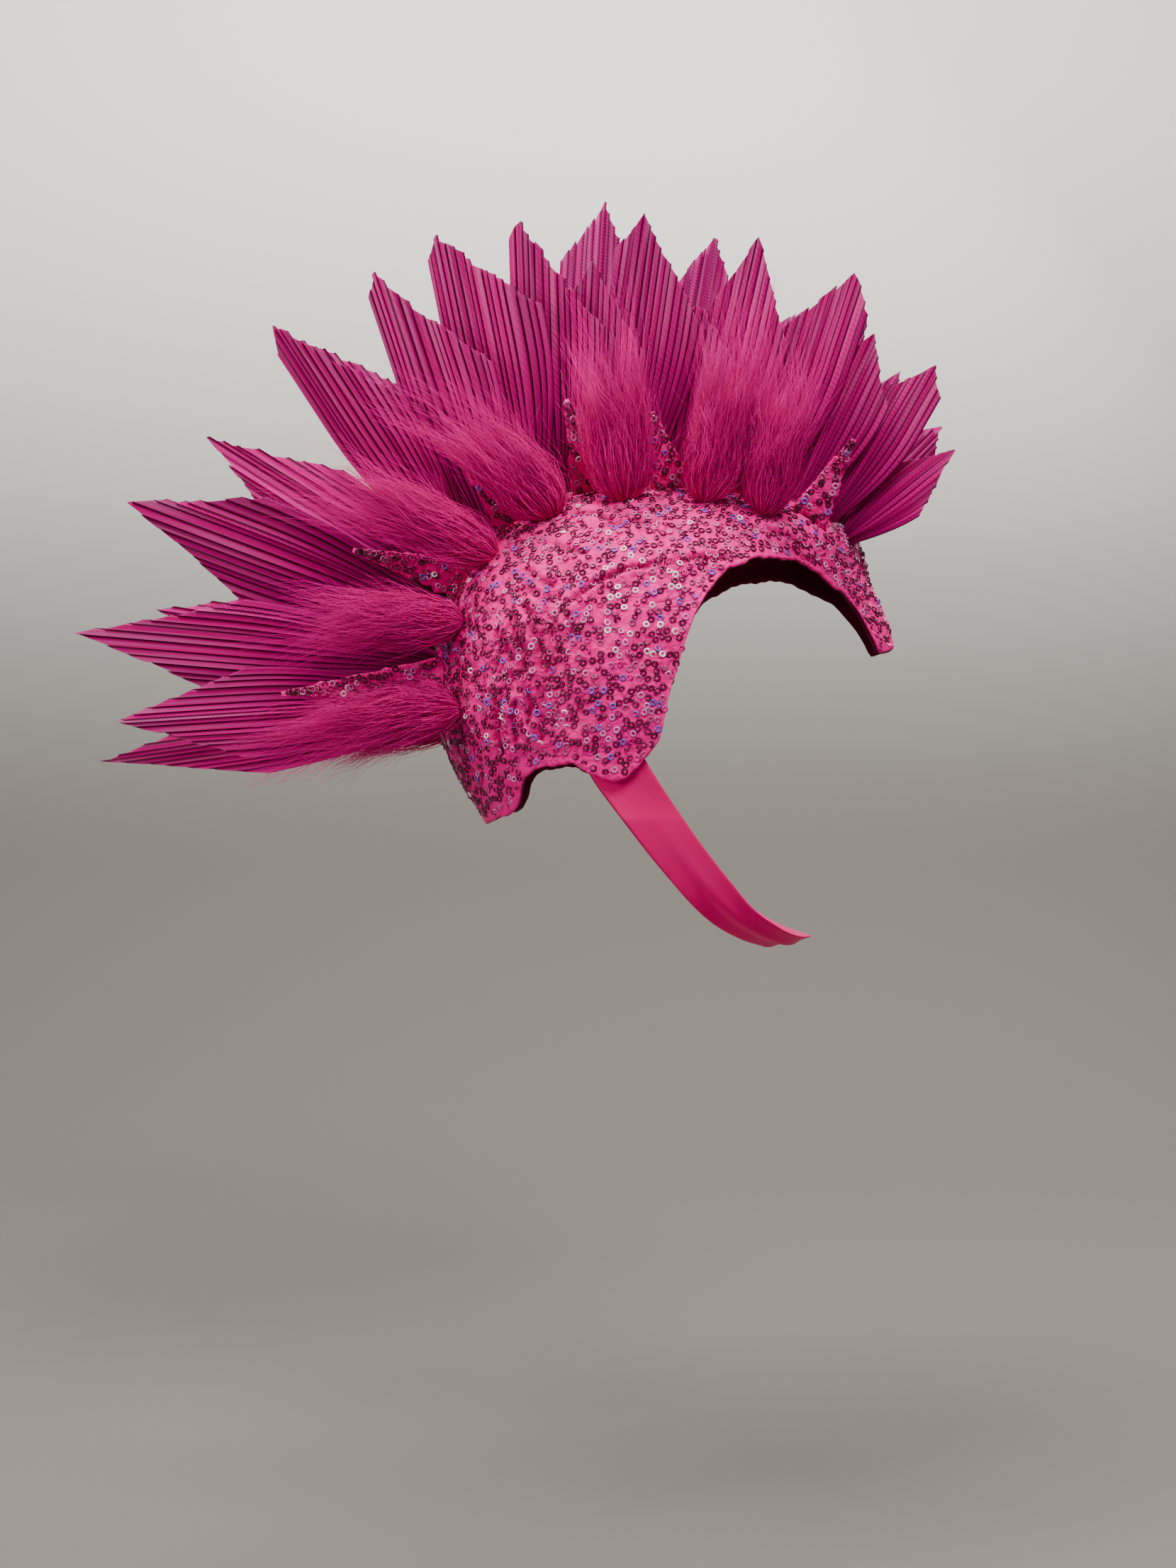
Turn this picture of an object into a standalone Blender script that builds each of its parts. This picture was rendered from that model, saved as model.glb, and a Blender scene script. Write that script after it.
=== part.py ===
"""Sequin headpiece: a sequinned cap with a curled front peak, a crest of pleated
spears in two rows, narrow spikes and fluffy tufts along both sides of the crest,
and a chin strap.

Frame: +X to the face, +Y to the wearer's left, +Z up, origin at the inside top of
the crown. Lengths are in millimetres until a mesh is made, angles in degrees.
"""
import math

import bpy
import bmesh
import numpy as np
from mathutils import Matrix, Vector

MM = 0.001

# Driving sizes of the cap
BACK_REACH = 101.5        # origin to the back of the head
PEAK_REACH = 124.0        # origin to the furthest point of the peak
HALF_WIDTH = 77.0         # origin to the side of the head
CAP_DEPTH = 165.0         # crown to the lowest point of the nape
CAP_WALL = 2.6            # padded satin under the sequins
CAP_ROWS = 12
HALF_COLUMNS = 36
FRONT_CROWDING = 1.35     # columns crowd towards the narrow peak

# Driving sizes of the crest
SPEAR_LENGTH = 160.0
SPEAR_WIDTH = 50.0
SPEAR_SHEET = 1.2
PLEAT_HALF_DEPTH = 1.1
SPIKE_LENGTH = 46.0
SPIKE_WIDTH = 18.0
SPIKE_THICKNESS = 2.6
TUFT_LENGTH = 68.0
TUFT_WIDTH = 27.0
TUFT_THICKNESS = 15.0
SEAT_GAP = 0.4            # between the cap and whatever stands on it
SHEET_SEAT_GAP = SEAT_GAP + 0.2 * SPEAR_SHEET
SEAT_SEARCH = 40.0        # how far a root is slid along its piece to find the cap

# Layout of the crest
SPEAR_ROW = 0.247 * HALF_WIDTH   # middle plane to each row
SPIKE_ROW = 0.403 * HALF_WIDTH
TUFT_ROW = 0.532 * HALF_WIDTH
SPEAR_SPLAY = 12.0
SPIKE_SPLAY = 17.0
TUFT_SPLAY = 24.0
SPEAR_TWIST = 20.0        # each spear turns on its own axis, like a shingle
SPEAR_FOLDS = 8
TIP_STEPS = 4             # steps on each side of a spear's point
SPEAR_STATIONS = (0.0, 0.16, 0.42, 0.72, 1.0)
ROOT_SPREAD = 0.26        # width at the root, as a share of the full width
SPREAD_DONE = 0.6         # share of the length where the full width is reached
ROOT_SINK = 0.08          # roots start this share of the length inside the cap
TUFT_SINK = 0.03
CREST_CENTRE = 0.364      # roots are found on rays from this share of the depth

# Driving sizes of the chin strap
STRAP_SHEET = 1.2
STRAP_WIDTH = 25.0
STRAP_FORWARD = 73.0      # origin to the furthest point under the chin
STRAP_BELOW_NAPE = 59.0
STRAP_DROP = CAP_DEPTH - CAP_WALL + STRAP_BELOW_NAPE
STRAP_GAP = 0.35          # between the strap's ends and the inside of the cap
STRAP_FOLD = 1.6          # height of the soft fold along its middle
STRAP_STEPS = 14          # stations from an ear to the chin
STRAP_TUCKED = 0.87       # share of the cap's depth down to which it lies on the cap
STRAP_FREE = 0.97

NEAR, FAR = -1, 1         # the wearer's right and left

# Cap sections, as shares of depth, back reach, peak reach and half width, and
# the exponent of the front half's superellipse (2 is round, 1 comes to a point)
CAP_SECTIONS = [
    # depth  back   front  side   point
    (0.000, 0.000, 0.000, 0.000, 2.20),
    (0.012, 0.280, 0.360, 0.235, 2.20),
    (0.036, 0.420, 0.560, 0.385, 2.20),
    (0.073, 0.555, 0.700, 0.530, 2.10),
    (0.121, 0.680, 0.800, 0.655, 2.00),
    (0.182, 0.790, 0.870, 0.775, 1.75),
    (0.273, 0.890, 0.905, 0.895, 1.45),
    (0.364, 0.955, 0.960, 0.960, 1.25),
    (0.485, 0.995, 1.000, 1.000, 1.25),
    (0.606, 1.000, 0.980, 1.000, 1.30),
    (0.703, 0.990, 0.940, 0.985, 1.40),
    (0.800, 0.935, 0.890, 0.955, 1.50),
    (0.885, 0.870, 0.850, 0.920, 1.60),
    (1.000, 0.755, 0.800, 0.830, 1.70),
]

# Lower edge of the cap: angle from the face round to the nape, depth share
RIM = [
    # angle  depth
    (0.0, 0.478),
    (3.0, 0.490),
    (5.2, 0.497),
    (6.5, 0.465),
    (8.2, 0.413),
    (10.5, 0.355),
    (17.0, 0.307),
    (21.0, 0.283),
    (32.0, 0.246),
    (48.0, 0.248),
    (55.0, 0.270),
    (62.0, 0.295),
    (70.0, 0.370),
    (75.0, 0.441),
    (80.0, 0.575),
    (83.0, 0.660),
    (85.0, 0.750),
    (88.0, 0.790),
    (92.0, 0.827),
    (100.0, 0.876),
    (106.0, 0.868),
    (112.0, 0.846),
    (116.0, 0.827),
    (123.0, 0.833),
    (130.0, 0.845),
    (135.0, 0.880),
    (138.0, 0.922),
    (144.0, 0.962),
    (154.0, 0.980),
    (165.0, 0.994),
    (180.0, 1.000),
]

# Soft gathers on both sides below the back of the crest
GATHER_HEIGHT = 1.3
GATHER_HALF_ANGLE = 7.0
GATHERS = [
    # angle  height
    (113.0, 0.75),
    (127.0, 1.00),
    (141.0, 0.75),
]
GATHER_TOP = 0.20         # depth shares between which the gathers show
GATHER_FOOT = 0.72

# Spears: where each is rooted round the crest and how it leans (both from
# upright, positive to the back), its length and width shares, where its tip lies
# across it (-1 front to 1 back), and the length lost at its two edges
NEAR_SPEARS = [
    # root   lean   length width  tip   front  back
    (114.0, 94.0, 0.96, 0.90, 0.00, 0.40, 0.40),
    (105.0, 85.5, 1.07, 0.95, 0.00, 0.45, 0.40),
    (93.0, 70.0, 1.00, 1.05, 0.00, 0.38, 0.42),
    (75.0, 33.0, 0.91, 0.95, 0.75, 0.48, 0.10),
    (62.0, 17.5, 0.83, 1.00, 0.75, 0.42, 0.08),
    (48.0, 11.5, 0.84, 1.05, 0.75, 0.30, 0.08),
    (35.0, 1.5, 0.81, 0.95, 0.75, 0.40, 0.08),
    (22.0, -3.0, 0.67, 0.90, 0.25, 0.40, 0.25),
    (5.0, -8.0, 0.80, 1.00, 0.50, 0.40, 0.15),
    (-12.0, -9.0, 0.55, 0.95, 0.00, 0.30, 0.30),
    (-27.0, -12.0, 0.76, 1.00, 0.00, 0.42, 0.42),
    (-45.0, -17.0, 0.70, 0.95, -0.50, 0.15, 0.42),
    (-55.0, -24.5, 0.55, 0.85, 0.00, 0.35, 0.38),
    (-63.0, -29.0, 0.54, 0.80, -0.50, 0.15, 0.40),
    (-70.5, -51.0, 0.415, 0.60, 0.00, 0.50, 0.42),
]
FAR_SPEARS = [
    # root   lean   length width  tip   front  back
    (116.0, 97.5, 1.19, 0.80, 0.00, 0.42, 0.50),
    (101.0, 80.5, 0.99, 0.95, 0.00, 0.42, 0.42),
    (83.0, 57.5, 1.02, 1.00, 0.00, 0.42, 0.42),
    (66.0, 37.0, 0.98, 1.00, 0.50, 0.42, 0.20),
    (48.0, 20.0, 0.87, 1.00, 0.00, 0.42, 0.42),
    (24.0, -3.0, 1.04, 0.90, 0.00, 0.28, 0.24),
    (5.0, -5.0, 0.78, 0.95, 0.00, 0.40, 0.40),
    (-13.0, -10.5, 0.93, 0.85, 0.00, 0.28, 0.28),
    (-34.0, -24.0, 0.72, 0.95, 0.00, 0.20, 0.30),
    (-47.0, -29.5, 0.78, 0.85, 0.00, 0.42, 0.42),
    (-58.0, -35.0, 0.62, 0.80, 0.00, 0.40, 0.40),
    (-67.5, -45.0, 0.55, 0.75, 0.00, 0.30, 0.30),
]

# Spikes, the same on both sides: root and lean from upright, length share
SPIKES = [
    # root   lean   length
    (109.0, 97.5, 1.70),
    (81.0, 77.0, 1.20),
    (56.0, 40.0, 1.00),
    (24.0, 16.5, 1.00),
    (-14.0, 16.0, 0.83),
    (-40.5, -10.5, 0.90),
    (-61.5, -29.5, 0.92),
]

# Tufts, the same on both sides: root and lean from upright, length and width
# shares, and how far the tip curls to the back as a share of the length
TUFTS = [
    # root   lean   length width  curl
    (119.0, 94.0, 1.12, 0.95, 0.10),
    (95.0, 89.0, 1.00, 0.90, 0.05),
    (72.0, 62.0, 1.12, 0.95, 0.10),
    (46.0, 28.0, 0.88, 1.25, 0.30),
    (11.0, 3.0, 1.00, 1.20, 0.08),
    (-30.0, -9.0, 1.00, 1.00, -0.05),
    (-52.0, -10.0, 0.91, 0.95, -0.03),
]

# Locks of a unit tuft: where each leaves the egg and where its point ends
TUFT_LOCKS = [
    # along  across  out    tip_across  tip_out
    (0.60, 0.16, 0.04, 0.30, 0.04),
    (0.66, -0.12, 0.06, -0.20, 0.12),
    (0.68, 0.04, -0.06, 0.06, -0.14),
    (0.54, -0.20, -0.02, -0.38, -0.04),
]
EGG_TOP = 0.86            # egg's height, as a share of the tuft's length
LOCK_SINK = 0.30          # length of a lock inside the egg and outside it
LOCK_REACH = 0.34
LOCK_BREADTH = 0.30

# Chin strap from the ear to the chin: the middle line as shares of the forward
# reach, the half width and the drop, the width share, and how far the band has
# turned from lying on the cheek (0) to lying under the chin (1)
STRAP_ROUTE = [
    # forward side   drop   width  turn
    (-0.27, 0.915, 0.560, 1.00, 0.00),
    (-0.15, 0.896, 0.628, 0.98, 0.00),
    (0.00, 0.850, 0.700, 0.92, 0.08),
    (0.20, 0.766, 0.790, 0.88, 0.26),
    (0.40, 0.650, 0.871, 0.86, 0.44),
    (0.58, 0.507, 0.932, 0.84, 0.66),
    (0.77, 0.344, 0.973, 0.84, 0.82),
    (0.93, 0.169, 0.995, 0.84, 0.94),
    (1.00, 0.000, 1.000, 0.84, 1.00),
]
STRAP_SECTION = [
    # across height
    (-0.50, 0.0),
    (-0.20, 0.0),
    (0.05, 1.0),
    (0.25, 0.2),
    (0.50, 0.0),
]
CHIN_FACING = Vector((0.25, 0.0, -1.0))


def smooth_table(rows, at):
    """Read a table whose first column rises, along a smooth curve through its rows."""
    table = np.asarray(rows, dtype=float)
    keys = table[:, 0]
    at = np.clip(at, keys[0], keys[-1])
    spans = np.diff(keys)
    steps = np.diff(table[:, 1:], axis=0) / spans[:, None]
    slopes = np.vstack([steps[:1], 0.5 * (steps[1:] + steps[:-1]), steps[-1:]])
    turns = steps[1:] * steps[:-1] <= 0.0
    slopes[1:-1][turns] = 0.0
    limits = 2.5 * np.minimum(np.abs(np.vstack([steps[:1], steps])),
                              np.abs(np.vstack([steps, steps[-1:]])))
    slopes = np.clip(slopes, -limits, limits)
    index = int(np.clip(np.searchsorted(keys, at, side="right") - 1, 0, len(keys) - 2))
    t = (at - keys[index]) / spans[index]
    low, high = table[index, 1:], table[index + 1, 1:]
    return (low * (1 + 2 * t) * (1 - t) ** 2 + high * t * t * (3 - 2 * t)
            + spans[index] * (slopes[index] * t * (1 - t) ** 2
                              - slopes[index + 1] * t * t * (1 - t)))


# Half-lengths near the crown grow with the square root of the depth, so the
# sections are read along that root and the crown comes out round
SECTIONS_BY_ROOT = [(math.sqrt(row[0]),) + row[1:] for row in CAP_SECTIONS]


def gather_height(angle, depth_share):
    """Height of the soft gathers at an angle from the face."""
    fade = math.sin(math.pi * min(max((depth_share - GATHER_TOP)
                                      / (GATHER_FOOT - GATHER_TOP), 0.0), 1.0))
    total = 0.0
    for middle, height in GATHERS:
        offset = min(abs(angle - middle) / GATHER_HALF_ANGLE, 1.0)
        total += GATHER_HEIGHT * height * fade * 0.5 * (1.0 + math.cos(math.pi * offset))
    return total


def cap_radius(angle, depth):
    """Distance from the upright axis to the cap's outside, 0 above the crown."""
    share = depth / CAP_DEPTH
    if share <= 0.0:
        return 0.0
    angle = min(abs(angle), 180.0)
    back, front, side, point = smooth_table(SECTIONS_BY_ROOT, math.sqrt(share))
    along = (front * PEAK_REACH) if angle < 90.0 else (back * BACK_REACH)
    keel = 1.0 - min(max((angle - 25.0) / 40.0, 0.0), 1.0)
    exponent = 2.15 + (point - 2.15) * keel * keel * (3.0 - 2.0 * keel)
    cosine = abs(math.cos(math.radians(angle)))
    sine = math.sin(math.radians(angle))
    total = (cosine / along) ** exponent + (sine / (side * HALF_WIDTH)) ** exponent
    return total ** (-1.0 / exponent) + gather_height(angle, share)


def beyond_cap(point):
    """How far a point is outside the cap, along the outward slope there."""
    def excess(p):
        angle = math.degrees(math.atan2(abs(p.y), p.x))
        return math.hypot(p.x, p.y) - cap_radius(angle, CAP_WALL - p.z)

    step = 0.05
    value = excess(point)
    slope = Vector((excess(point + Vector((step, 0, 0))) - value,
                    excess(point + Vector((0, step, 0))) - value,
                    excess(point + Vector((0, 0, step))) - value)) / step
    return value / max(slope.length, 1.0)


def crest_root(root_angle, row, side):
    """Point on the cap's outside at a distance from its middle plane."""
    angle = math.radians(root_angle)
    ray = Vector((-math.sin(angle), 0.0, math.cos(angle)))
    start = Vector((0.0, side * row, -CREST_CENTRE * CAP_DEPTH))
    near, far = 0.0, 2.0 * PEAK_REACH
    for _ in range(40):
        middle = 0.5 * (near + far)
        if beyond_cap(start + ray * middle) > 0.0:
            far = middle
        else:
            near = middle
    return start + ray * far


def standing_frame(root_angle, lean, row, splay, side, twist=0.0):
    """Frame of a piece on the cap: +Z along it, +X to the back, +Y out sideways."""
    lean_turn = Matrix.Rotation(math.radians(-lean), 4, "Y")
    splay_turn = Matrix.Rotation(math.radians(-side * splay), 4, "X")
    twist_turn = Matrix.Rotation(math.radians(side * twist), 4, "Z")
    face_out = Matrix.Diagonal((-1.0, side, 1.0, 1.0))
    place = Matrix.Translation(crest_root(root_angle, row, side))
    return place @ lean_turn @ splay_turn @ twist_turn @ face_out


def seated(points, frame, clearance):
    """Slide the points that are inside the cap along the piece until they clear it."""
    result = []
    for point in points:
        local = Vector(point)
        if beyond_cap(frame @ local) < clearance:
            near, far = local.z, local.z + SEAT_SEARCH
            for _ in range(30):
                middle = 0.5 * (near + far)
                if beyond_cap(frame @ Vector((local.x, local.y, middle))) > clearance:
                    far = middle
                else:
                    near = middle
            local.z = far
        result.append(local)
    return result


def new_material(name, colour, roughness, metallic=0.0):
    material = bpy.data.materials.new(name)
    material.use_nodes = True
    shader = material.node_tree.nodes["Principled BSDF"]
    shader.inputs["Base Color"].default_value = (*colour, 1.0)
    shader.inputs["Roughness"].default_value = roughness
    shader.inputs["Metallic"].default_value = metallic
    return material


def new_object(name, points, faces, material, collection):
    """Mesh object from points in millimetres."""
    mesh = bpy.data.meshes.new(name)
    mesh.from_pydata([tuple(Vector(p) * MM) for p in points], [], faces)
    mesh.materials.append(material)
    obj = bpy.data.objects.new(name, mesh)
    collection.objects.link(obj)
    return obj


def grid_faces(columns, rows, closed=False):
    """Quads of a grid whose points run row by row."""
    last = columns if closed else columns - 1
    faces = []
    for row in range(rows - 1):
        for column in range(last):
            across = (column + 1) % columns
            low = row * columns
            high = low + columns
            faces.append((low + column, low + across, high + across, high + column))
    return faces


def outward(obj, closed=True):
    """Turn every face outwards; an open sheet keeps one side throughout."""
    shape = bmesh.new()
    shape.from_mesh(obj.data)
    bmesh.ops.recalc_face_normals(shape, faces=shape.faces)
    if closed and shape.calc_volume(signed=True) < 0.0:
        bmesh.ops.reverse_faces(shape, faces=shape.faces)
    shape.to_mesh(obj.data)
    shape.free()


def add_sheet(obj, thickness, offset):
    """Give an open surface its wall."""
    wall = obj.modifiers.new("wall", "SOLIDIFY")
    wall.thickness = thickness * MM
    wall.offset = offset
    return wall


def build_cap(material, collection):
    """Cap shell: rings of points from the crown down to the rim."""
    half = [180.0 * (k / HALF_COLUMNS) ** FRONT_CROWDING for k in range(HALF_COLUMNS + 1)]
    angles = half + [-angle for angle in half[-2:0:-1]]
    points = [Vector((0.0, 0.0, CAP_WALL))]
    for row in range(1, CAP_ROWS + 1):
        for angle in angles:
            rim_depth = smooth_table(RIM, abs(angle))[0] * CAP_DEPTH
            depth = rim_depth * (row / CAP_ROWS) ** 2
            radius = cap_radius(angle, depth)
            turn = math.radians(angle)
            points.append(Vector((radius * math.cos(turn), radius * math.sin(turn),
                                  CAP_WALL - depth)))
    columns = len(angles)
    crown = [(0, 1 + k, 1 + (k + 1) % columns) for k in range(columns)]
    rings = [tuple(1 + corner for corner in face)
             for face in grid_faces(columns, CAP_ROWS, closed=True)]
    rings = [tuple(reversed(face)) for face in rings]
    cap = new_object("cap", points, crown + rings, material, collection)
    add_sheet(cap, CAP_WALL, -1.0)
    cap.data.shade_smooth()
    return cap


def rib_spread(share):
    """How far the ribs of a spear have spread at a share of its length."""
    done = min(share / SPREAD_DONE, 1.0)
    return ROOT_SPREAD + (1.0 - ROOT_SPREAD) * math.sin(0.5 * math.pi * done)


def rib_loss(across, tip, front_loss, back_loss):
    """Share of the length that a rib lacks, in steps away from the tip."""
    if across > tip:
        reach, loss = (across - tip) / (1.0 - tip), back_loss
    else:
        reach, loss = (tip - across) / (1.0 + tip), front_loss
    return loss * math.floor(TIP_STEPS * reach + 0.5) / TIP_STEPS


def build_spear(name, row, side, material, collection):
    """Pleated leaf: ribs fan out from the root and end in steps at the cut point."""
    root, lean, length_share, width_share, tip, front_loss, back_loss = row
    frame = standing_frame(root, lean, SPEAR_ROW, SPEAR_SPLAY, side, SPEAR_TWIST)
    length = SPEAR_LENGTH * length_share
    half_width = 0.5 * SPEAR_WIDTH * width_share
    ribs = SPEAR_FOLDS + 1
    points = []
    for station in SPEAR_STATIONS:
        for rib in range(ribs):
            across = 2.0 * rib / SPEAR_FOLDS - 1.0
            share = station * (1.0 - rib_loss(across, tip, front_loss, back_loss))
            pleat = PLEAT_HALF_DEPTH * (1.0 if rib % 2 else -1.0)
            points.append((across * half_width * rib_spread(share), pleat, share * length))
    roots = [(x, y, -ROOT_SINK * SPEAR_LENGTH) for x, y, _ in points[:ribs]]
    points = seated(roots, frame, SHEET_SEAT_GAP) + points[ribs:]
    spear = new_object(name, points, grid_faces(ribs, len(SPEAR_STATIONS)), material,
                       collection)
    spear.matrix_world = frame_in_metres(frame)
    outward(spear, closed=False)
    add_sheet(spear, SPEAR_SHEET, 0.0)
    return spear


def frame_in_metres(frame):
    """The same frame with its place in metres; a mirrored frame stays a plain matrix."""
    placed = frame.copy()
    placed.translation = frame.translation * MM
    return placed


def build_spike(name, row, side, material, collection):
    """Flat padded spike: a cone with its base shaped to the cap."""
    root, lean, length_share = row
    frame = standing_frame(root, lean, SPIKE_ROW, SPIKE_SPLAY, side)
    length = SPIKE_LENGTH * length_share
    shape = bmesh.new()
    bmesh.ops.create_cone(shape, cap_ends=True, segments=8, radius1=0.5 * SPIKE_WIDTH,
                          radius2=0.06 * SPIKE_WIDTH, depth=length)
    base = min(shape.faces, key=lambda face: face.calc_center_median().z)
    bmesh.ops.poke(shape, faces=[base])
    shape.verts.index_update()
    points = []
    for vertex in shape.verts:
        share = vertex.co.z / length + 0.5
        flat = SPIKE_THICKNESS / SPIKE_WIDTH * (1.0 + 2.0 * share)
        points.append(Vector((vertex.co.x, vertex.co.y * flat, vertex.co.z + 0.5 * length)))
    faces = [tuple(vertex.index for vertex in face.verts) for face in shape.faces]
    shape.free()
    sunk = -ROOT_SINK * SPEAR_LENGTH
    lowered = [Vector((p.x, p.y, sunk)) if p.z < 0.5 * length else p for p in points]
    spike = new_object(name, seated(lowered, frame, SEAT_GAP), faces, material, collection)
    spike.matrix_world = frame_in_metres(frame)
    outward(spike)
    return spike


def fused_tuft(collection):
    """Unit tuft along +Z: an egg with pointed locks, joined by Boolean unions."""
    bodies = []
    egg = bmesh.new()
    bmesh.ops.create_uvsphere(egg, u_segments=8, v_segments=5, radius=0.5)
    for vertex in egg.verts:
        along = vertex.co.z + 0.5
        waist = 1.0 - 0.35 * along
        vertex.co = Vector((vertex.co.x * waist, vertex.co.y * waist, along * EGG_TOP))
    bodies.append(egg)
    for along, across, out, tip_across, tip_out in TUFT_LOCKS:
        lock = bmesh.new()
        bmesh.ops.create_cone(lock, cap_ends=True, segments=4, radius1=LOCK_BREADTH,
                              radius2=0.1 * LOCK_BREADTH, depth=1.0)
        foot = Vector((across, out, along - LOCK_SINK))
        tip = Vector((tip_across, tip_out, along + LOCK_REACH))
        turn = (tip - foot).to_track_quat("Z", "X")
        for vertex in lock.verts:
            share = vertex.co.z + 0.5
            rim = turn @ Vector((vertex.co.x, vertex.co.y, 0.0))
            rim.z *= 0.3
            vertex.co = foot.lerp(tip, share) + rim
        bodies.append(lock)
    objects = []
    for body in bodies:
        mesh = bpy.data.meshes.new("tuft_piece")
        body.to_mesh(mesh)
        body.free()
        piece = bpy.data.objects.new("tuft_piece", mesh)
        collection.objects.link(piece)
        objects.append(piece)
    for lock in objects[1:]:
        union = objects[0].modifiers.new("lock", "BOOLEAN")
        union.operation = "UNION"
        union.solver = "EXACT"
        union.object = lock
    bpy.context.view_layer.update()
    depsgraph = bpy.context.evaluated_depsgraph_get()
    fused = bpy.data.meshes.new_from_object(objects[0].evaluated_get(depsgraph))
    for piece in objects:
        bpy.data.objects.remove(piece)
    shape = bmesh.new()
    shape.from_mesh(fused)
    bmesh.ops.remove_doubles(shape, verts=shape.verts, dist=0.004)
    bmesh.ops.triangulate(shape, faces=shape.faces)
    points = [vertex.co.copy() for vertex in shape.verts]
    faces = [tuple(vertex.index for vertex in face.verts) for face in shape.faces]
    shape.free()
    bpy.data.meshes.remove(fused)
    return points, faces


def build_tuft(name, row, side, form, material, collection):
    """Fluffy tuft: the unit tuft sized, curled towards the back and seated."""
    root, lean, length_share, width_share, curl = row
    unit_points, faces = form
    frame = standing_frame(root, lean, TUFT_ROW, TUFT_SPLAY, side)
    length = TUFT_LENGTH * length_share
    points = []
    for p in unit_points:
        bend = curl * length * p.z * p.z
        points.append(Vector((p.x * TUFT_WIDTH * width_share + bend,
                              p.y * TUFT_THICKNESS, (p.z - TUFT_SINK) * length)))
    tuft = new_object(name, seated(points, frame, SEAT_GAP), faces, material, collection)
    tuft.matrix_world = frame_in_metres(frame)
    outward(tuft)
    tuft.data.shade_smooth()
    return tuft


def strap_station(share):
    """Middle, width and facing of the strap on the wearer's left half."""
    rows = [(k / (len(STRAP_ROUTE) - 1),) + row for k, row in enumerate(STRAP_ROUTE)]
    forward, sideways, drop, width, turn = smooth_table(rows, share)
    middle = Vector((forward * STRAP_FORWARD, sideways * HALF_WIDTH, -drop * STRAP_DROP))
    facing = Vector((0.0, 1.0, 0.0)).lerp(CHIN_FACING, turn).normalized()
    return middle, width * STRAP_WIDTH, facing


def tucked(point):
    """Lay a point of the strap's end against the inside of the cap."""
    side = 1.0 if point.y > 0.0 else -1.0
    inside = CAP_WALL + STRAP_GAP + 0.5 * STRAP_SHEET
    moved = point.copy()
    for _ in range(8):
        moved.y -= side * (beyond_cap(moved) + inside)
    low, high = -STRAP_FREE * CAP_DEPTH, -STRAP_TUCKED * CAP_DEPTH
    return point.lerp(moved, min(max((point.z - low) / (high - low), 0.0), 1.0))


def build_strap(material, collection):
    """Chin strap: one band from ear to ear with a soft fold along its middle."""
    half = [strap_station(k / STRAP_STEPS) for k in range(STRAP_STEPS + 1)]
    mirrored = [(Vector((p.x, -p.y, p.z)), width, Vector((f.x, -f.y, f.z)))
                for p, width, f in reversed(half[:-1])]
    stations = half + mirrored
    last = len(stations) - 1
    points = []
    for index, (middle, width, facing) in enumerate(stations):
        before = stations[max(index - 1, 0)][0]
        after = stations[min(index + 1, last)][0]
        across = (after - before).normalized().cross(facing).normalized()
        rise = STRAP_FOLD * min(max(min(index, last - index) / 4.0 - 1.0, 0.0), 1.0)
        for place, height in STRAP_SECTION:
            points.append(tucked(middle + across * (place * width)
                                 + facing * (height * rise)))
    strap = new_object("chin_strap", points, grid_faces(len(STRAP_SECTION), len(stations)),
                       material, collection)
    outward(strap, closed=False)
    add_sheet(strap, STRAP_SHEET, 0.0)
    strap.data.shade_smooth()
    return strap


def build_headpiece():
    for obj in list(bpy.data.objects):
        bpy.data.objects.remove(obj)
    pieces = bpy.data.collections.new("sequin_headpiece")
    helpers = bpy.data.collections.new("helpers")
    bpy.context.scene.collection.children.link(pieces)
    bpy.context.scene.collection.children.link(helpers)
    sequinned = new_material("sequinned_satin", (0.72, 0.03, 0.18), 0.40)
    satin = new_material("strap_satin", (0.95, 0.02, 0.17), 0.45)
    pleated = new_material("pleated_leaf", (0.48, 0.0, 0.13), 0.50)
    fluff = new_material("fluff", (0.62, 0.0, 0.17), 0.85)

    build_cap(sequinned, pieces)
    build_strap(satin, pieces)
    form = fused_tuft(helpers)
    for side, word, spears in ((NEAR, "right", NEAR_SPEARS), (FAR, "left", FAR_SPEARS)):
        for number, row in enumerate(spears, start=1):
            build_spear(f"spear_{word}_{number:02d}", row, side, pleated, pieces)
        for number, row in enumerate(SPIKES, start=1):
            build_spike(f"spike_{word}_{number}", row, side, sequinned, pieces)
        for number, row in enumerate(TUFTS, start=1):
            build_tuft(f"tuft_{word}_{number}", row, side, form, fluff, pieces)


build_headpiece()
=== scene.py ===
"""Sequin headpiece as it is seen: gathered satin cap with loop sequins, pleated
leaves, sequinned spikes, feather tufts and a satin chin strap.

Frame: +X to the face, +Y to the wearer's left, +Z up. Lengths are in millimetres
until a mesh is made, angles in degrees.
"""
import bpy
import numpy as np
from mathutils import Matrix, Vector


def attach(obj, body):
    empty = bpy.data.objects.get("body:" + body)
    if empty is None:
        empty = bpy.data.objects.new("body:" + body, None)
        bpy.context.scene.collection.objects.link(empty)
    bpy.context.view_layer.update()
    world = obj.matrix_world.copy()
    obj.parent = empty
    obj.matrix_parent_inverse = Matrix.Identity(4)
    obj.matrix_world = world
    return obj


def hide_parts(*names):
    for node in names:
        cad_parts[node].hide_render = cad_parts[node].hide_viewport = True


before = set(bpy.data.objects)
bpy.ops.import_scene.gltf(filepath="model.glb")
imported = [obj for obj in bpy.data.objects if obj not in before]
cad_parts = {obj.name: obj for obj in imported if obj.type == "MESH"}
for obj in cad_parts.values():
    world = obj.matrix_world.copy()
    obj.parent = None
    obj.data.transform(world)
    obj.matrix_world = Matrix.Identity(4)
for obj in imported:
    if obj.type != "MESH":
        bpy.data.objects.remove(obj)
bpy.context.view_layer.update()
chance = np.random.default_rng(41)
MM = 0.001

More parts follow.
